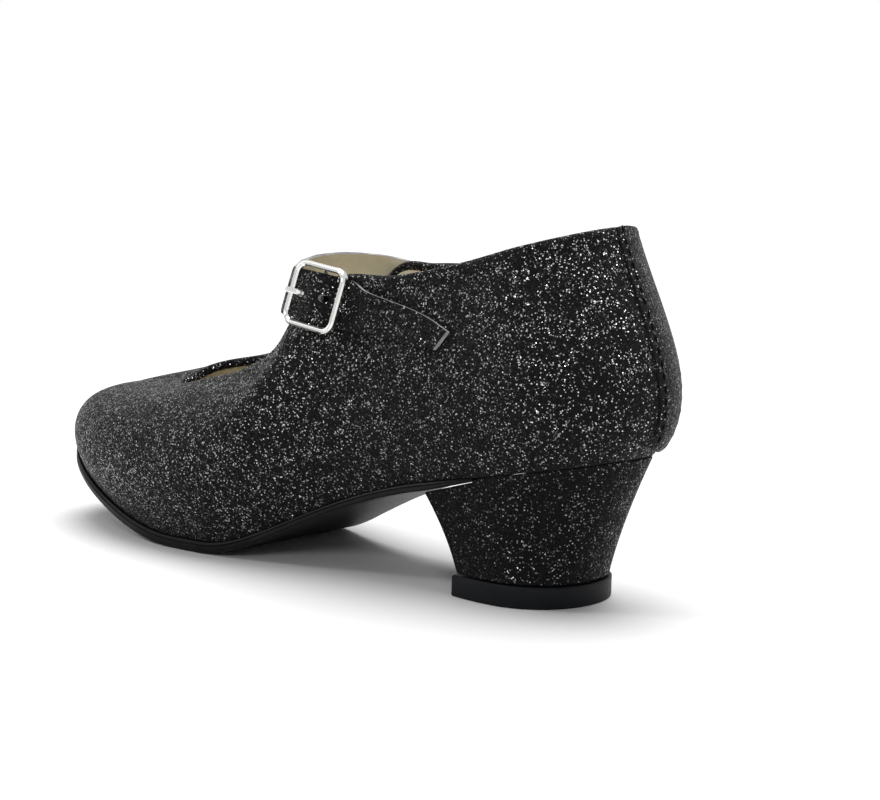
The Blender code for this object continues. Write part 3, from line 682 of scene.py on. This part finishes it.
def gather_height(ways, from_top):
    """Inward folds of the lining: uneven in spacing, deepest just below the seam."""
    shift = 0.9 * np.sin(7.3 * ways) + 0.6 * np.sin(17.9 * ways + 1.3)
    wave = np.sin(2 * np.pi * (15.0 * ways + 0.5 * shift))
    fine = np.sin(2 * np.pi * (41.0 * ways + shift))
    fade = np.clip((from_top - BAND) / 0.002, 0, 1) * np.exp(-np.clip(from_top - BAND, 0, 1) / 0.014)
    return fade * (0.00022 * (1 + wave) + 0.00009 * (1 + fine))


def lining_grid():
    ways = RING[:, None]
    reach = np.linalg.norm(wall_points(RING, 1.0) - wall_points(RING, 0.98), axis=-1)[:, None] / 0.02
    top = 1 - (LINING_START + 0.0008) / reach
    shares = np.linspace(0, 1, 46)[None] ** 0.8
    ups = 0.01 + (top - 0.01) * shares
    points, normals, _ = wall_frame(ways, ups)
    from_top = (1 - ups) * reach
    groove = -0.00022 * np.exp(-(((from_top - BAND) / 0.0004) ** 2))
    band = 0.00018 * (1 / (1 + np.exp((from_top - BAND) / 0.0002)))
    inward = gather_height(ways, from_top) + groove + band
    inner = points - normals * (FOLD - 0.00015 + inward)[..., None]
    outer = points - normals * (FOLD - 0.00015 - LINING)
    return np.concatenate([inner, outer[:, ::-9]], axis=1)


lining = grid_piece("lining", lining_grid(), True, True, [lining_finish])
report(lining)

# %% [markdown]
# The sole, the insock and the tops of the heel are plates with the outline of
# the last. A plate is lofted from a stack of closed loops: a loop runs from the
# back by the outer side to the toe and home by the inner side, moved in or out
# by an inset. Small insets at the edges round them off.

# %% Plates: insock and sole
def plate_loop(shares, inset):
    """Closed loop on the feather line between the first and the last share, moved in by inset."""
    outer, inner = outline_y(shares, 1), outline_y(shares, -1)
    there = np.stack([along(shares), outer], axis=-1)
    back = np.stack([along(shares), inner], axis=-1)[::-1]
    first = 1 if abs(outer[-1] - inner[-1]) < 1e-6 else 0
    last = len(shares) - (1 if abs(outer[0] - inner[0]) < 1e-6 else 0)
    loop = np.concatenate([there, back[first:last]])
    flat = np.concatenate([loop, np.zeros((len(loop), 1))], axis=1)
    return (flat - level_normals(flat) * inset)[:, :2], np.concatenate([shares, shares[::-1][first:last]])


def spaced_shares(start, end, steps):
    first = math.acos(1 - 2 * start) / math.pi
    last = math.acos(1 - 2 * end) / math.pi
    return share_at(np.linspace(first, last, steps + 1))


def flat_plate(name, start, end, steps, rings, finishes, finish_of, sharp=40.0):
    """A plate whose top and bottom are strips from side to side, so that it can curve.

    Each ring has an inset, a function for its height and a spread: 1 keeps the
    ring at the outline, and 0.5 moves it half way to the middle line.
    """
    shares = spaced_shares(start, end, steps)
    columns = []
    for inset, height, spread in rings:
        loop, loop_shares = plate_loop(shares, inset)
        count = len(shares)
        first = loop[:count]
        rest = loop[count:]
        second = rest[::-1]
        if len(second) < count:
            if abs(outline_y(shares[0], 1) - outline_y(shares[0], -1)) < 1e-6:
                second = np.concatenate([first[:1], second])
            if len(second) < count:
                second = np.concatenate([second, first[-1:]])
        middle = (first + second) / 2
        for sign, line in ((1, first), (-1, second)):
            flat = middle + (line - middle) * spread
            columns.append((sign, np.concatenate([flat, height(shares)[:, None]], axis=1)))
    outer_side = [line for sign, line in columns if sign == 1]
    inner_side = [line for sign, line in columns if sign == -1]
    ring = outer_side + inner_side[::-1]
    grid = np.stack(ring, axis=1)
    return grid_piece(name, grid, False, True, finishes, finish_of, ends=True, sharp=sharp)


UPPER_WALL = 0.0020
INSOLE_THICKNESS = 0.0015


def above_bottom(rise):
    return lambda shares: last_bottom(shares) + GAP + rise


inset = UPPER_WALL + GAP
insock = flat_plate(
    "insock",
    0.0,
    1.0,
    96,
    [
        (inset, above_bottom(0.0), 0.5),
        (inset + 0.0002, above_bottom(0.0), 1.0),
        (inset, above_bottom(0.0004), 1.0),
        (inset, above_bottom(0.0010), 1.0),
        (inset + 0.0003, above_bottom(0.00135), 1.0),
        (inset + 0.0009, above_bottom(INSOLE_THICKNESS), 1.0),
        (inset + 0.0030, above_bottom(INSOLE_THICKNESS - 0.0001), 1.0),
        (inset, above_bottom(INSOLE_THICKNESS - 0.0002), 0.5),
    ],
    [insock_finish],
    None,
)
report(insock)

SOLE_TAIL = 0.190
SOLE_EDGE = 0.0008


def sole_depth(share):
    places = [SOLE_TAIL, SEAT_END, 0.50, TREAD_START]
    return np.interp(share, places, [0.0006, 0.0018, 0.0018, SOLE_THICKNESS])


def sole_level(part):
    """Height on the sole's edge: part 0 is its bottom and 1 its top."""
    return lambda shares: last_bottom(shares) - sole_depth(shares) * (1 - part)


sole = flat_plate(
    "sole",
    SOLE_TAIL,
    1.0,
    110,
    [
        (-SOLE_EDGE + 0.0012, sole_level(0.0), 0.5),
        (-SOLE_EDGE + 0.0008, sole_level(0.0), 1.0),
        (-SOLE_EDGE + 0.0003, sole_level(0.06), 1.0),
        (-SOLE_EDGE, sole_level(0.25), 1.0),
        (-SOLE_EDGE, sole_level(0.62), 1.0),
        (-SOLE_EDGE + 0.0003, sole_level(0.70), 1.0),
        (-SOLE_EDGE + 0.0003, sole_level(0.75), 1.0),
        (-SOLE_EDGE, sole_level(0.82), 1.0),
        (-SOLE_EDGE + 0.00015, sole_level(1.0), 1.0),
        (-SOLE_EDGE + 0.0006, sole_level(1.0), 1.0),
        (-SOLE_EDGE + 0.0012, sole_level(1.0), 0.5),
    ],
    [sole_finish],
    None,
)
report(sole)

# %% [markdown]
# The heel is a block covered with the same glitter cloth, its flakes and sheen
# painted dimmer as painted shade, because the heel stands in less light. It is
# lofted from the outline of the seat down to the outline of the tip, a little
# hollow on the way. The Bevel modifier rounds its front corners, as glued cloth
# does. The moulded rubber tip is a stack of loops, set in at both ends to take
# off the hard edge.

# %% Heel and tip
TIP_LENGTH = 0.0270
TIP_WIDTH = 0.0350
TIP_THICKNESS = 0.0047
TIP_PROUD = 0.0006
TIP_ROUNDNESS = 2.1
TIP_FRONT_WIDTH = 0.93
HEEL_HOLLOW = 0.0006


def tip_lines(count, proud, z):
    t = np.linspace(0, 1, count)
    half_length, half_width = TIP_LENGTH / 2 + proud, TIP_WIDTH / 2 + proud
    x = -half_length + 2 * half_length * (1 - np.cos(np.pi * t / 2))
    widest = 0.2 * half_length
    back_way = np.clip((widest - x) / (widest + half_length), 0, 1)
    front_way = np.clip((x - widest) / (half_length - widest), 0, 1)
    y = half_width * (1 - back_way**TIP_ROUNDNESS) ** (1 / TIP_ROUNDNESS)
    y *= 1 - (1 - TIP_FRONT_WIDTH) * front_way**2
    return [np.stack([x, side * y, np.full(count, z)], axis=-1) for side in (1, -1)]


def bevelled(obj, width, segments):
    """Rounds an object's hard edges for good and shades it by its faces' areas."""
    bevel = obj.modifiers.new("rounded edges", "BEVEL")
    bevel.width = width
    bevel.segments = segments
    bevel.limit_method = "ANGLE"
    bevel.angle_limit = math.radians(35)
    bevel.harden_normals = True
    bevel.use_clamp_overlap = True
    mesh = bpy.data.meshes.new_from_object(obj.evaluated_get(bpy.context.evaluated_depsgraph_get()))
    obj.modifiers.clear()
    obj.data = mesh
    return obj


def heel_grid(steps, levels):
    t = np.linspace(0, 1, steps + 1)
    shares = SEAT_END * (1 - np.cos(np.pi * t / 2))
    tuck = np.where(shares > SOLE_TAIL - 0.012, sole_depth(shares) + GAP, 0.0)
    loop, _ = plate_loop(shares, 0.0)
    outer = loop[: steps + 1]
    inner = np.concatenate([outer[:1], loop[steps + 1 :][::-1]])
    height = (last_bottom(shares) - tuck)[:, None]
    top = [np.concatenate([line, height], axis=1) for line in (outer, inner)]
    foot = tip_lines(steps + 1, -TIP_PROUD, TIP_THICKNESS + GAP)
    columns = []
    for down in np.linspace(1, 0, levels):
        sides = []
        for high, low in zip(top, foot):
            line = high + (low - high) * down
            centre = line.mean(axis=0)
            spread = np.linalg.norm(line[:, :2] - centre[:2], axis=1, keepdims=True)
            hollow = HEEL_HOLLOW * 4 * down * (1 - down)
            line[:, :2] -= (line[:, :2] - [centre[0], 0]) / spread * hollow
            line[0, 1] = 0.0
            sides.append(line)
        columns.append(np.concatenate([sides[0], sides[1][:0:-1]]))
    return np.stack(columns, axis=1)


def capped(obj):
    """Closes the open rims of a loft with flat faces."""
    work = bmesh.new()
    work.from_mesh(obj.data)
    rims = [e for e in work.edges if e.is_boundary]
    bmesh.ops.holes_fill(work, edges=rims, sides=0)
    bmesh.ops.recalc_face_normals(work, faces=work.faces)
    work.to_mesh(obj.data)
    work.free()
    obj.data.set_sharp_from_angle(angle=math.radians(35))
    return obj


heel_block = capped(grid_piece("heel_block", heel_grid(66, 25), True, False, [dimmed_heel_glitter]))
bevelled(heel_block, 0.0005, 3)
report(heel_block)

TIP_LAYERS = (
    (-0.0004, 0.0),
    (-0.0001, 0.0001),
    (0.0, 0.0004),
    (0.0, TIP_THICKNESS - 0.0003),
    (-0.0003, TIP_THICKNESS),
)
tip_rings = []
for proud, z in TIP_LAYERS:
    lines = tip_lines(60, proud, z)
    tip_rings.append(np.concatenate([lines[0], lines[1][:0:-1]]))
rubber_tip = capped(grid_piece("rubber_tip", np.stack(tip_rings, axis=1), True, False, [rubber_finish]))
report(rubber_tip)

# %% [markdown]
# A narrow strip covers the seam at the back. It is lighter and smoother than
# the upper, and its edges sink to the cloth under it.

# %% Back strip
STRIP_THICKNESS = 0.0009
STRIP_OUTER_WAY = 0.012
STRIP_INNER_WAY = -0.085
STRIP_FOOT = 0.03
STRIP_TOP = 0.995
STRIP_FOOT_ROUND = 0.10


def strip_grid(across, steps):
    middle = (STRIP_INNER_WAY + STRIP_OUTER_WAY) / 2
    half = (STRIP_OUTER_WAY - STRIP_INNER_WAY) / 2
    sides = np.sin(np.linspace(-0.5, 0.5, across) * np.pi)
    up_share = np.linspace(0, 1, steps) ** 1.3
    outer, inner = [], []
    for s in sides:
        foot = STRIP_FOOT + STRIP_FOOT_ROUND * (1 - math.sqrt(max(0.0, 1 - s * s)))
        ups = foot + (STRIP_TOP - foot) * up_share
        points, normals, _ = wall_frame(np.full(steps, middle + half * s), ups)
        swell = (1 - abs(s) ** 6) * np.clip(up_share / 0.03, 0, 1) ** 0.5
        outer.append(points + normals * (GAP + STRIP_THICKNESS * (0.35 + 0.65 * swell))[:, None])
        inner.append(points + normals * 0.0001)
    return np.concatenate([np.array(outer), np.array(inner)[::-1]])


grid = strip_grid(22, 70)
back_strip = grid_piece("back_strip_cover", grid, True, False, [strip_cloth])
capped(back_strip)
report(back_strip)

# %% [markdown]
# The strap is one long band: it starts on the outside of the inner quarter, goes
# round the front of the ankle, rises over the buckle's bar, and its pointed tail
# lies on the outer side. Its face is glitter cloth, its raw cut edges are pale
# and its back is cream. Its two holes are cut with the Boolean modifier.

# %% Strap
STRAP_WIDTH = 0.0110
STRAP_THICKNESS = 0.0012
STRAP_OFFSET = 0.0009
BUCKLE_WAY = 0.482
BUCKLE_RISE_SHARE = 0.920
BUCKLE_SINK = 0.00027
BUCKLE_TURN = math.radians(-8.6)
BUCKLE_SLOPE = math.radians(7.2)
BUCKLE_LENGTH = 0.0150
BUCKLE_BAND = 0.0013
STRAP_OVER_BAR = 0.0035
STRAP_UNDER_FRAME = 0.00175
HOLES = ((-0.0046, 0.0026, 0.0017), (0.0022, 0.0026, 0.0017))

STRAP_FREE = np.array((
    (0.509, -0.351, 0.180, 0.520, -0.404, -0.036),
    (0.539, -0.236, 0.188, 0.567, -0.279, -0.011),
    (0.547, -0.084, 0.180, 0.575, -0.079, -0.018),
    (0.532, 0.090, 0.160, 0.551, 0.116, -0.045),
    (0.500, 0.247, 0.143, 0.512, 0.292, -0.070),
))
STRAP_START = np.array((
    (-0.370, 0.960, -0.370, 0.780),
    (-0.420, 0.965, -0.420, 0.785),
    (-0.465, 0.975, -0.465, 0.800),
))
STRAP_TAIL = np.array((
    (0.400, 0.925, 0.400, 0.735),
    (0.360, 0.880, 0.362, 0.700),
    (0.325, 0.830, 0.330, 0.665),
    (0.296, 0.775, 0.308, 0.640),
    (0.266, 0.695, 0.290, 0.620),
))


def buckle_axes():
    """Origin of the buckle's frame at the upper, and its directions: along the strap, across it, out."""
    place, outward, _ = wall_frame(BUCKLE_WAY, BUCKLE_RISE_SHARE)
    heelward = np.cross([0.0, 0.0, 1.0], outward)
    heelward /= np.linalg.norm(heelward)
    upward = np.cross(outward, heelward)
    away = math.cos(BUCKLE_TURN) * outward - math.sin(BUCKLE_TURN) * heelward
    level = math.cos(BUCKLE_TURN) * heelward + math.sin(BUCKLE_TURN) * outward
    along_strap = math.cos(BUCKLE_SLOPE) * level - math.sin(BUCKLE_SLOPE) * upward
    across = math.cos(BUCKLE_SLOPE) * upward + math.sin(BUCKLE_SLOPE) * level
    return place - away * BUCKLE_SINK, along_strap, across, away


def in_buckle(points):
    origin, along_strap, across, away = buckle_axes()
    points = np.asarray(points, float)
    return origin + points[..., :1] * along_strap + points[..., 1:2] * across + points[..., 2:3] * away


def on_wall(ways, ups, offset):
    points, normals, _ = wall_frame(ways, ups)
    return points + normals * offset


def strap_edges():
    upper = [on_wall(STRAP_START[:, 0], STRAP_START[:, 1], STRAP_OFFSET)]
    lower = [on_wall(STRAP_START[:, 2], STRAP_START[:, 3], STRAP_OFFSET)]
    level = buckle_axes()[0][2]
    for edges, columns in ((upper, STRAP_FREE[:, :3]), (lower, STRAP_FREE[:, 3:])):
        heights = level + columns[:, 2] * BACK_HEIGHT
        edges.append(np.stack([along(columns[:, 0]), columns[:, 1] * BALL_WIDTH, heights], axis=-1))
    a = np.linspace(-0.5, 0.5, 7) * (BUCKLE_LENGTH - BUCKLE_BAND)
    way = np.clip(np.abs(a) / (BUCKLE_LENGTH / 2 - BUCKLE_BAND / 2), 0, 1)
    level = STRAP_OVER_BAR + (STRAP_UNDER_FRAME - STRAP_OVER_BAR) * way**1.5
    half = np.full_like(a, STRAP_WIDTH / 2)
    upper.append(in_buckle(np.stack([a, half, level], axis=-1)))
    lower.append(in_buckle(np.stack([a, -half, level], axis=-1)))
    upper.append(on_wall(STRAP_TAIL[:, 0], STRAP_TAIL[:, 1], STRAP_OFFSET))
    lower.append(on_wall(STRAP_TAIL[:, 2], STRAP_TAIL[:, 3], STRAP_OFFSET))
    return np.concatenate(upper), np.concatenate(lower)


def strap_sheet(steps, across):
    """Middle layer of the strap and its outward normals."""
    upper, lower = strap_edges()
    middle = (upper + lower) / 2
    counter = np.concatenate([[0], np.cumsum(np.linalg.norm(np.diff(middle, axis=0), axis=1))])
    at = np.linspace(0, counter[-1], steps + 1)
    high, low = (
        np.stack([smooth_curve(counter, rows[:, k], at) for k in range(3)], axis=-1)
        for rows in (upper, lower)
    )
    t = np.linspace(0, 1, across + 1)[None, :, None]
    sheet = low[:, None] + (high - low)[:, None] * t
    run = np.gradient(sheet, axis=0)
    normals = np.cross(run, np.broadcast_to((high - low)[:, None], run.shape))
    normals /= np.linalg.norm(normals, axis=2, keepdims=True)
    sign = np.sign(normals[-8, 1, 1])
    return sheet, normals * sign, at


def strap_grid(steps, across):
    sheet, normals, at = strap_sheet(steps, across)
    half = STRAP_THICKNESS / 2
    t = np.linspace(-1, 1, across + 1)
    crown = 1 - 0.28 * np.abs(t) ** 10
    ripple = 0.00006 * np.sin(at * 900.0)[:, None] * np.sin(at * 310.0)[:, None]
    face = sheet + normals * (half * crown[None] + ripple)[..., None]
    back = sheet - normals * (half * crown[None])[..., None]
    return np.concatenate([face, back[:, ::-1]], axis=1)


def closed_prism(name, rim, low, high):
    """A closed cutter through the strap from a rim in the buckle's frame."""
    count = len(rim)
    bottom = np.concatenate([rim, np.full((count, 1), low)], axis=1)
    top = np.concatenate([rim, np.full((count, 1), high)], axis=1)
    mesh = bpy.data.meshes.new(name)
    faces = [(i, (i + 1) % count, count + (i + 1) % count, count + i) for i in range(count)]
    faces += [tuple(range(count))[::-1], tuple(range(count, 2 * count))]
    mesh.from_pydata(in_buckle(np.concatenate([bottom, top])).tolist(), [], faces)
    work = bmesh.new()
    work.from_mesh(mesh)
    bmesh.ops.recalc_face_normals(work, faces=work.faces)
    work.to_mesh(mesh)
    work.free()
    mesh.materials.append(cut_finish)
    return add_object(name, mesh)


def cut_holes(obj):
    """Cuts the strap's holes and keeps the result as a plain mesh."""
    cutters = []
    for centre, length, width in HOLES:
        angles = np.linspace(0, 2 * np.pi, 28, endpoint=False)
        rim = np.stack([centre + length / 2 * np.cos(angles), width / 2 * np.sin(angles)], axis=-1)
        cutter = closed_prism("hole cutter", rim, -0.001, 0.008)
        cut = obj.modifiers.new("hole", "BOOLEAN")
        cut.operation = "DIFFERENCE"
        cut.solver = "EXACT"
        cut.material_mode = "TRANSFER"
        cut.object = cutter
        cutters.append(cutter)
    mesh = bpy.data.meshes.new_from_object(obj.evaluated_get(bpy.context.evaluated_depsgraph_get()))
    obj.modifiers.clear()
    obj.data = mesh
    for cutter in cutters:
        bpy.data.objects.remove(cutter)
    return obj


STRAP_ACROSS = 12
strap_band = grid_piece(
    "strap_band",
    strap_grid(230, STRAP_ACROSS),
    False,
    True,
    [strap_cloth, cut_finish, lining_finish],
    lambda j: 0 if 0 <= j < STRAP_ACROSS else (1 if j in (-1, STRAP_ACROSS, 2 * STRAP_ACROSS + 1) else 2),
    ends=True,
)
cut_holes(strap_band)
report(strap_band)

# %% [markdown]
# The buckle's frame, its prong and the leather tab keep their CAD solids,
# because their shapes are right. They only get their finishes.

# %% Buckle, prong and tab
for node, finish in (("buckle", nickel_finish), ("buckle_prong", nickel_finish), ("buckle_tab", tab_finish)):
    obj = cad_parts[node]
    obj.data.materials.clear()
    obj.data.materials.append(finish)
    print(node, "wears", finish.name)

# %% [markdown]
# Stitches repeat along a line, which is work for Geometry Nodes. The tree takes
# a line, spreads points over it at an even pitch, lays a short rounded thread on
# each one along the line's direction, turns every stitch a little at random and
# joins them into one mesh with the thread's finish.

# %% Stitches
def stitch_tree():
    tree = bpy.data.node_groups.new("row of stitches", "GeometryNodeTree")
    face = tree.interface
    face.new_socket("Geometry", in_out="INPUT", socket_type="NodeSocketGeometry")
    for name, kind, value in (
        ("Pitch", "NodeSocketFloat", 0.0025),
        ("Stitch Length", "NodeSocketFloat", 0.0016),
        ("Thread Radius", "NodeSocketFloat", 0.00020),
        ("Unevenness", "NodeSocketFloat", 0.12),
        ("Seed", "NodeSocketInt", 3),
        ("Thread", "NodeSocketMaterial", None),
    ):
        socket = face.new_socket(name, in_out="INPUT", socket_type=kind)
        if value is not None:
            socket.default_value = value
    face.new_socket("Geometry", in_out="OUTPUT", socket_type="NodeSocketGeometry")
    bench = Bench(tree)
    given = bench.node("NodeGroupInput")
    wire = {socket.name: bench.out(given, socket.name) for socket in given.outputs if socket.name}
    line = bench.out(bench.node("GeometryNodeMeshToCurve", {}, {"Mesh": wire["Geometry"]}))
    spacing = {"Curve": line, "Length": wire["Pitch"]}
    points = bench.node("GeometryNodeResampleCurve", {"mode": "LENGTH"}, spacing)
    ball = bench.node("GeometryNodeMeshUVSphere", {}, {"Segments": 8, "Rings": 5, "Radius": 1.0})
    half = wire["Stitch Length"] * 0.5
    radius = wire["Thread Radius"]
    size = bench.out(bench.node("ShaderNodeCombineXYZ", {}, {0: radius, 1: radius, 2: half}))
    stitch = bench.node("GeometryNodeTransform", {}, {"Geometry": bench.out(ball, "Mesh"), "Scale": size})
    tangent = bench.out(bench.node("GeometryNodeInputTangent"))
    turned = bench.node("FunctionNodeAlignRotationToVector", {"axis": "Z"}, {"Vector": tangent})
    chance = bench.node(
        "FunctionNodeRandomValue",
        {"data_type": "FLOAT_VECTOR"},
        {"Min": (-1.0, -1.0, -1.0), "Max": (1.0, 1.0, 1.0), "Seed": wire["Seed"]},
    )
    swing = bench.vector("SCALE", bench.out(chance, 0), scale=wire["Unevenness"])
    wobble = bench.node("FunctionNodeEulerToRotation", {}, {"Euler": swing})
    mixed = bench.node(
        "FunctionNodeRotateRotation",
        {"rotation_space": "LOCAL"},
        {"Rotation": bench.out(turned), "Rotate By": bench.out(wobble)},
    )
    laid = bench.node(
        "GeometryNodeInstanceOnPoints",
        {},
        {"Points": bench.out(points), "Instance": bench.out(stitch), "Rotation": bench.out(mixed)},
    )
    real = bench.node("GeometryNodeRealizeInstances", {}, {"Geometry": bench.out(laid)})
    smooth = bench.node("GeometryNodeSetShadeSmooth", {}, {"Geometry": bench.out(real)})
    wearing = {"Geometry": bench.out(smooth), "Material": wire["Thread"]}
    dressed = bench.node("GeometryNodeSetMaterial", {}, wearing)
    bench.node("NodeGroupOutput", {}, {0: bench.out(dressed)})
    return tree


STITCHES = stitch_tree()


def stitch_row(name, line, pitch, length, radius, thread, seed=3):
    """One row of stitches along a line of points, as a plain mesh."""
    mesh = bpy.data.meshes.new(name)
    mesh.from_pydata(np.asarray(line).tolist(), [(i, i + 1) for i in range(len(line) - 1)], [])
    obj = add_object(name, mesh)
    modifier = obj.modifiers.new("stitches", "NODES")
    modifier.node_group = STITCHES
    values = {
        "Pitch": pitch,
        "Stitch Length": length,
        "Thread Radius": radius,
        "Seed": seed,
        "Thread": thread,
    }
    for item in STITCHES.interface.items_tree:
        if item.in_out == "INPUT" and item.name in values:
            modifier[item.identifier] = values[item.name]
    mesh = bpy.data.meshes.new_from_object(obj.evaluated_get(bpy.context.evaluated_depsgraph_get()))
    obj.modifiers.clear()
    obj.data = mesh
    return obj


def top_row(from_top, offset, start, end, count):
    """A line parallel to the topline, on the outer face moved out by offset."""
    ways = np.linspace(start, end, count)
    reach = np.linalg.norm(wall_points(ways, 1.0) - wall_points(ways, 0.98), axis=-1) / 0.02
    return on_wall(ways, 1 - from_top / reach, offset)


strip_ups = np.linspace(0.12, 0.985, 60)
strip_lift = GAP + STRIP_THICKNESS * 0.93
outer_line = on_wall(np.full(60, 0.006), strip_ups, strip_lift)
inner_line = on_wall(np.full(60, -0.073), strip_ups, strip_lift)
lining_line = top_row(BAND, -FOLD - 0.00005, -0.999, 0.999, 700)
stitches = [
    stitch_row("strip_stitches_outer", outer_line, 0.0026, 0.0017, 0.00024, thread_finish),
    stitch_row("strip_stitches_inner", inner_line, 0.0026, 0.0017, 0.00024, thread_finish),
    stitch_row("lining_stitches", lining_line, 0.0024, 0.0016, 0.00016, cream_thread),
]
for row in stitches:
    report(row)

# %% [markdown]
# A plain pale floor and soft studio light. The background of the picture is
# white, so the floor is nearly white too and the world adds even light. A sun
# lamp of a wide angle gives the soft shadow under the shoe, and two small soft
# lamps give the flakes and the nickel something to catch.

# %% Floor and light
def soft_lamp(name, place, target, size, power):
    """A round lamp at a place, turned to a target."""
    data = bpy.data.lights.new(name, "AREA")
    data.shape = "DISK"
    data.size = size
    data.energy = power
    lamp = bpy.data.objects.new(name, data)
    bpy.context.scene.collection.objects.link(lamp)
    lamp.location = place
    lamp.rotation_mode = "QUATERNION"
    lamp.rotation_quaternion = (Vector(place) - Vector(target)).to_track_quat("Z", "Y")
    return lamp


def sky_lamp(name, way, strength, spread):
    """Even light from far away, with soft shadows."""
    data = bpy.data.lights.new(name, "SUN")
    data.energy = strength
    data.angle = math.radians(spread)
    lamp = bpy.data.objects.new(name, data)
    bpy.context.scene.collection.objects.link(lamp)
    lamp.rotation_mode = "QUATERNION"
    lamp.rotation_quaternion = Vector(way).to_track_quat("Z", "Y")
    return lamp


sky_lamp("overhead light", (0.10, -0.22, 1.0), 3.3, 50.0)
soft_lamp("side softbox", (-0.55, 0.75, 0.55), (0.05, 0.0, 0.04), 0.22, 2.0)
soft_lamp("toe softbox", (0.75, 0.45, 0.50), (0.09, 0.0, 0.03), 0.22, 2.0)

world = bpy.data.worlds.new("white studio")
world.use_nodes = True
studio = Bench(world.node_tree)
path = studio.node("ShaderNodeLightPath")
seen = studio.out(path, "Is Camera Ray")
mirrored = studio.out(path, "Is Glossy Ray")
strength = 0.22 + 0.78 * seen + 0.60 * mirrored
background = world.node_tree.nodes["Background"]
background.inputs["Color"].default_value = (1.0, 1.0, 1.0, 1.0)
world.node_tree.links.new(strength.socket, background.inputs["Strength"])
bpy.context.scene.world = world
bpy.context.scene.view_settings.view_transform = "Standard"

floor_mesh = bpy.data.meshes.new("floor")
floor_mesh.from_pydata([(-6, -6, 0), (6, -6, 0), (6, 6, 0), (-6, 6, 0)], [], [(0, 1, 2, 3)])
floor_material, bench, shader = new_finish("pale floor")
haze = bench.noise(bench.place(), 3.0, 2.0, 0.5)
feed(
    bench,
    shader,
    Base_Color=bench.mix(haze, (0.88, 0.88, 0.89, 1.0), (0.92, 0.92, 0.92, 1.0)),
    Roughness=0.55 + 0.1 * haze,
    Specular_IOR_Level=0.2,
)
floor_mesh.materials.append(floor_material)
floor = add_object("floor", floor_mesh)
print("lamps:", len(bpy.data.lights))

# %% [markdown]
# At the end every piece is tied to the one rigid body of the shoe, and the CAD
# nodes that it covers are hidden.

# %% Tie the pieces to the shoe
PLACES = (
    (upper_skin, ("upper",), "glitter_fabric"),
    (lining, (), "cream_insock"),
    (insock, ("insole",), "cream_insock"),
    (sole, ("outsole",), "sole_leather"),
    (heel_block, ("heel",), "heel_cover"),
    (rubber_tip, ("heel_tip",), "tip_rubber"),
    (back_strip, ("back_strip",), "back_strip_fabric"),
    (strap_band, ("strap",), "strap_fabric"),
    (stitches[0], (), "back_strip_fabric"),
    (stitches[1], (), "back_strip_fabric"),
    (stitches[2], (), "cream_insock"),
)
for obj, nodes, slot in PLACES:
    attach(obj, "root")
    if nodes:
        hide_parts(*nodes)
print("pieces:", len(PLACES))
